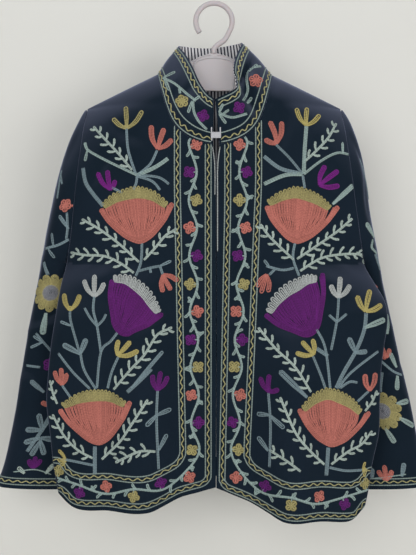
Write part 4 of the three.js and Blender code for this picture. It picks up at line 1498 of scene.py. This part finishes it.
# ---- the hanger ----
def ringSection(points, across, deep, sides=12):
    bm = bmesh.new()
    rings = []
    for k, p in enumerate(points):
        out = wayAt(points, k).normalized().cross(Vector((0, 1, 0))).normalized()
        ring = []
        for n in range(sides):
            a = 2 * math.pi * n / sides
            # a shallow waist on each face, as a moulded hook has
            waist = 1 - 0.22 * math.cos(a) ** 2 if n % 2 else 1
            sideways = out * across / 2 * math.cos(a)
            forwards = Vector((0, 1, 0)) * deep / 2 * math.sin(a) * waist
            ring.append(bm.verts.new((p + sideways + forwards) / 1000))
        rings.append(ring)
    for a, b in zip(rings, rings[1:]):
        for n in range(sides):
            bm.faces.new((a[n], a[(n + 1) % sides], b[(n + 1) % sides], b[n]))
    bm.faces.new(rings[0][::-1])
    bm.faces.new(rings[-1])
    bmesh.ops.recalc_face_normals(bm, faces=bm.faces)
    return bm


def plate(outline, deep):
    bm = bmesh.new()
    front = [bm.verts.new((x / 1000, -deep / 2000, z / 1000)) for x, z in outline]
    face = bm.faces.new(front)
    made = bmesh.ops.extrude_face_region(bm, geom=[face])
    moved = [g for g in made["geom"] if isinstance(g, bmesh.types.BMVert)]
    bmesh.ops.translate(bm, verts=moved, vec=(0, deep / 1000, 0))
    bmesh.ops.recalc_face_normals(bm, faces=bm.faces)
    return bm


def meshFrom(name, bm, angle=40):
    mesh = bpy.data.meshes.new(name)
    bm.to_mesh(mesh)
    bm.free()
    mesh.shade_smooth()
    mesh.set_sharp_from_angle(angle=math.radians(angle))
    return mesh


plastic = plainMaterial("hangerPlastic", (0.44, 0.405, 0.425), 0.4)
plastic.node_tree.nodes["Principled BSDF"].inputs["Subsurface Weight"].default_value = 0.08
hook = {"innerRadius": 24, "band": 8.4, "depth": 8}
hanger = {"depth": 4.4, "neckHalf": 7, "barZ": -74, "panelBottomZ": -132, "panelHalf": 42, "armTip": 178,
          "armHeight": 17, "drop": 2.3}


def armTopZ(x):
    return shoulderZ(x) - hanger["drop"]


def hangerOutline():
    tip, tall, low = hanger["armTip"], hanger["armHeight"], hanger["panelBottomZ"]
    right = [(hanger["neckHalf"], hanger["barZ"]), (34, -85), (62, -101), (79, -113), (92, armTopZ(92)),
             (130, armTopZ(130)), (tip - 8, armTopZ(tip - 8)), (tip, armTopZ(tip) - 6),
             (tip, armTopZ(tip) - tall), (96, armTopZ(96) - tall), (60, low), (hanger["panelHalf"], low)]
    return right + [(-x, z) for x, z in right[::-1]]


body = plate(hangerOutline(), hanger["depth"])
bmesh.ops.bevel(body, geom=list(body.edges), offset=0.0008, segments=2, affect="EDGES")
rimHalf = [(-29, -130), (-31, -112), (-31, -96), (-29, -88), (-24, -84.5), (-12, -81.5)]
rimPath = [Vector((x, -2.4, z)) for x, z in rimHalf + [(0, -80.5)] + [(-x, z) for x, z in rimHalf[::-1]]]
rim = ringSection(rimPath, 3.0, 2.6, 10)
upperPath = [Vector((x, -2.2, z)) for x, z in [(-33, -87), (-24, -81), (-14, -77.5), (-5, -76.4)]]
rimParts = [rim, ringSection(upperPath, 2.2, 2.2, 8),
            ringSection([Vector((-p.x, p.y, p.z)) for p in upperPath[::-1]], 2.2, 2.2, 8)]
addPiece("hangerBody", meshFrom("hangerBody", body), "hanger", plastic)
for k, part in enumerate(rimParts):
    name = "hangerRim%d" % (k + 1)
    addPiece(name, meshFrom(name, part), None, plastic)

centreZ = -hook["innerRadius"]
hookRadius = hook["innerRadius"] + hook["band"] / 2
hookPoints = []
for k in range(41):
    a = math.radians(218 - 248 * k / 40)
    hookPoints.append(Vector((hookRadius * math.cos(a), 0, centreZ + hookRadius * math.sin(a))))
neck = [(17, -52), (5, -61), (0, -68), (0, hanger["barZ"] + 0.3)]
tail = smoothPath([(hookPoints[-1].x, hookPoints[-1].z)] + neck, 6)
hookPoints += [Vector((p.x, 0, p.y)) for p in tail[1:]]
hookBand = ringSection(hookPoints, hook["band"] - 0.2, hook["depth"] - 0.4, 16)
addPiece("hangerHook", meshFrom("hangerHook", hookBand, 60), "hanger_hook", plastic)
print("hanger moulded")

# ---- the hook and bar at the neck ----
clasp = {"x": 2.5, "z": -209, "width": 15, "height": 9, "wall": 1.4, "stand": 0.3,
         "legHeight": 13, "legWidth": 2, "tongue": 4}
metal = plainMaterial("claspMetal", (0.33, 0.335, 0.36), 0.42, 0.4)
claspY = frontPoint(1, 20, clasp["z"]).y - velvet / 2 - clasp["stand"]


def block(bm, low, high):
    made = bmesh.ops.create_cube(bm, size=1.0)
    size = [(b - a) / 1000 for a, b in zip(low, high)]
    middle = [(a + b) / 2000 for a, b in zip(low, high)]
    bmesh.ops.scale(bm, verts=made["verts"], vec=size)
    bmesh.ops.translate(bm, verts=made["verts"], vec=middle)


def claspPiece(name, node, blocks):
    bm = bmesh.new()
    for low, high in blocks:
        block(bm, low, high)
    bmesh.ops.bevel(bm, geom=list(bm.edges), offset=0.0003, segments=2, affect="EDGES")
    addPiece(name, meshFrom(name, bm), node, metal)


x, z, wall = clasp["x"], clasp["z"], clasp["wall"]
lowX, highX = x - clasp["width"] / 2, x + clasp["width"] / 2
leg = clasp["legWidth"]
barLow, barHigh = z - leg / 2, z - leg / 2 + clasp["legHeight"]
claspPiece("claspBar", "closure_bar", [
    ((lowX, claspY - wall, barLow), (highX, claspY, barLow + leg)),
    ((lowX, claspY - wall, barLow), (lowX + leg, claspY, barHigh)),
    ((highX - leg, claspY - wall, barLow), (highX, claspY, barHigh)),
])
plateY = claspY - wall * 1.5 - seam
plateLow, plateHigh = z - clasp["height"] / 2, z + clasp["height"] / 2
plateFront, plateBack = plateY - wall / 2, plateY + wall / 2
# two raised lips run along the plate, and a tongue hangs from one end
lipFront, lipBack = plateFront - 0.5, plateFront + 0.3
claspPiece("claspHook", "closure_hook", [
    ((lowX, plateFront, plateLow), (highX, plateBack, plateHigh)),
    ((lowX, lipFront, plateHigh - wall), (highX, lipBack, plateHigh)),
    ((lowX, lipFront, plateLow), (highX, lipBack, plateLow + wall)),
    ((lowX + 0.5, plateFront, plateLow - clasp["tongue"]), (lowX + 2.3, plateBack, plateLow)),
])
print("clasp closed")

# ---- the room ----
wallPaint = plainMaterial("wallPaint", (0.66, 0.66, 0.635), 0.95)


def stageObject(name, data):
    thing = bpy.data.objects.new(name, data)
    bpy.context.scene.collection.objects.link(thing)
    return thing


def panel(name, corners):
    mesh = bpy.data.meshes.new(name)
    mesh.from_pydata(corners, [], [(0, 1, 2, 3)])
    mesh.materials.append(wallPaint)
    stageObject(name, mesh)


# The wall is clear from behind, so that the jacket can be walked round.
def clearBehind(material):
    nodes = material.node_tree.nodes
    which = addNode(material, "ShaderNodeNewGeometry")
    clear = addNode(material, "ShaderNodeBsdfTransparent")
    pick = addNode(material, "ShaderNodeMixShader")
    wire(material, [
        (which, "Backfacing", pick, "Fac"), (nodes["Principled BSDF"], "BSDF", pick, 1),
        (clear, "BSDF", pick, 2), (pick, "Shader", nodes["Material Output"], "Surface"),
    ])


clearBehind(wallPaint)
room = {"half": 3, "wallY": 0.12, "floorZ": -1.25, "topZ": 2.0}
wide, wallY, floorZ, topZ = room["half"], room["wallY"], room["floorZ"], room["topZ"]
wallFoot = [(-wide, wallY, floorZ), (wide, wallY, floorZ)]
panel("floor", [(-wide, -wide, floorZ), (wide, -wide, floorZ)] + wallFoot[::-1])
panel("wall", wallFoot + [(wide, wallY, topZ), (-wide, wallY, topZ)])


def softLight(name, place, aim, size, power, colour):
    lamp = bpy.data.lights.new(name, "AREA")
    lamp.energy = power
    lamp.size = size
    lamp.color = colour
    holder = stageObject(name, lamp)
    holder.location = place
    holder.rotation_euler = (Vector(aim) - Vector(place)).to_track_quat("-Z", "Y").to_euler()


softLight("ceiling", (-0.9, -3.0, -0.1), (0, 0, -0.8), 2.6, 50, (1.0, 0.99, 0.97))
softLight("window", (1.9, -2.6, -1.0), (0, 0, -0.85), 2.2, 55, (1.0, 0.98, 0.96))
softLight("above", (-0.1, -0.5, 1.2), (0, -0.05, -0.2), 0.6, 4, (0.88, 0.93, 1.0))
world = bpy.data.worlds.new("room")
world.use_nodes = True
setInputs(world.node_tree.nodes["Background"], {"Color": (0.80, 0.80, 0.79, 1), "Strength": 0.45})
bpy.context.scene.world = world

# the focal length takes in a view of this width, in metres, at the origin's distance
eye = {"x": -0.0093, "away": 1.3, "z": -0.421, "viewWidth": 0.86025}
lens = bpy.data.cameras.new("viewer")
lens.sensor_width = 24
lens.lens = lens.sensor_width * eye["away"] / eye["viewWidth"]
viewer = bpy.data.objects.new("viewer", lens)
viewer.location = (eye["x"], -eye["away"], eye["z"])
viewer.rotation_euler = (math.radians(90), 0, 0)
bpy.context.scene.collection.objects.link(viewer)
bpy.context.scene.camera = viewer
bpy.context.scene.view_settings.view_transform = "Standard"
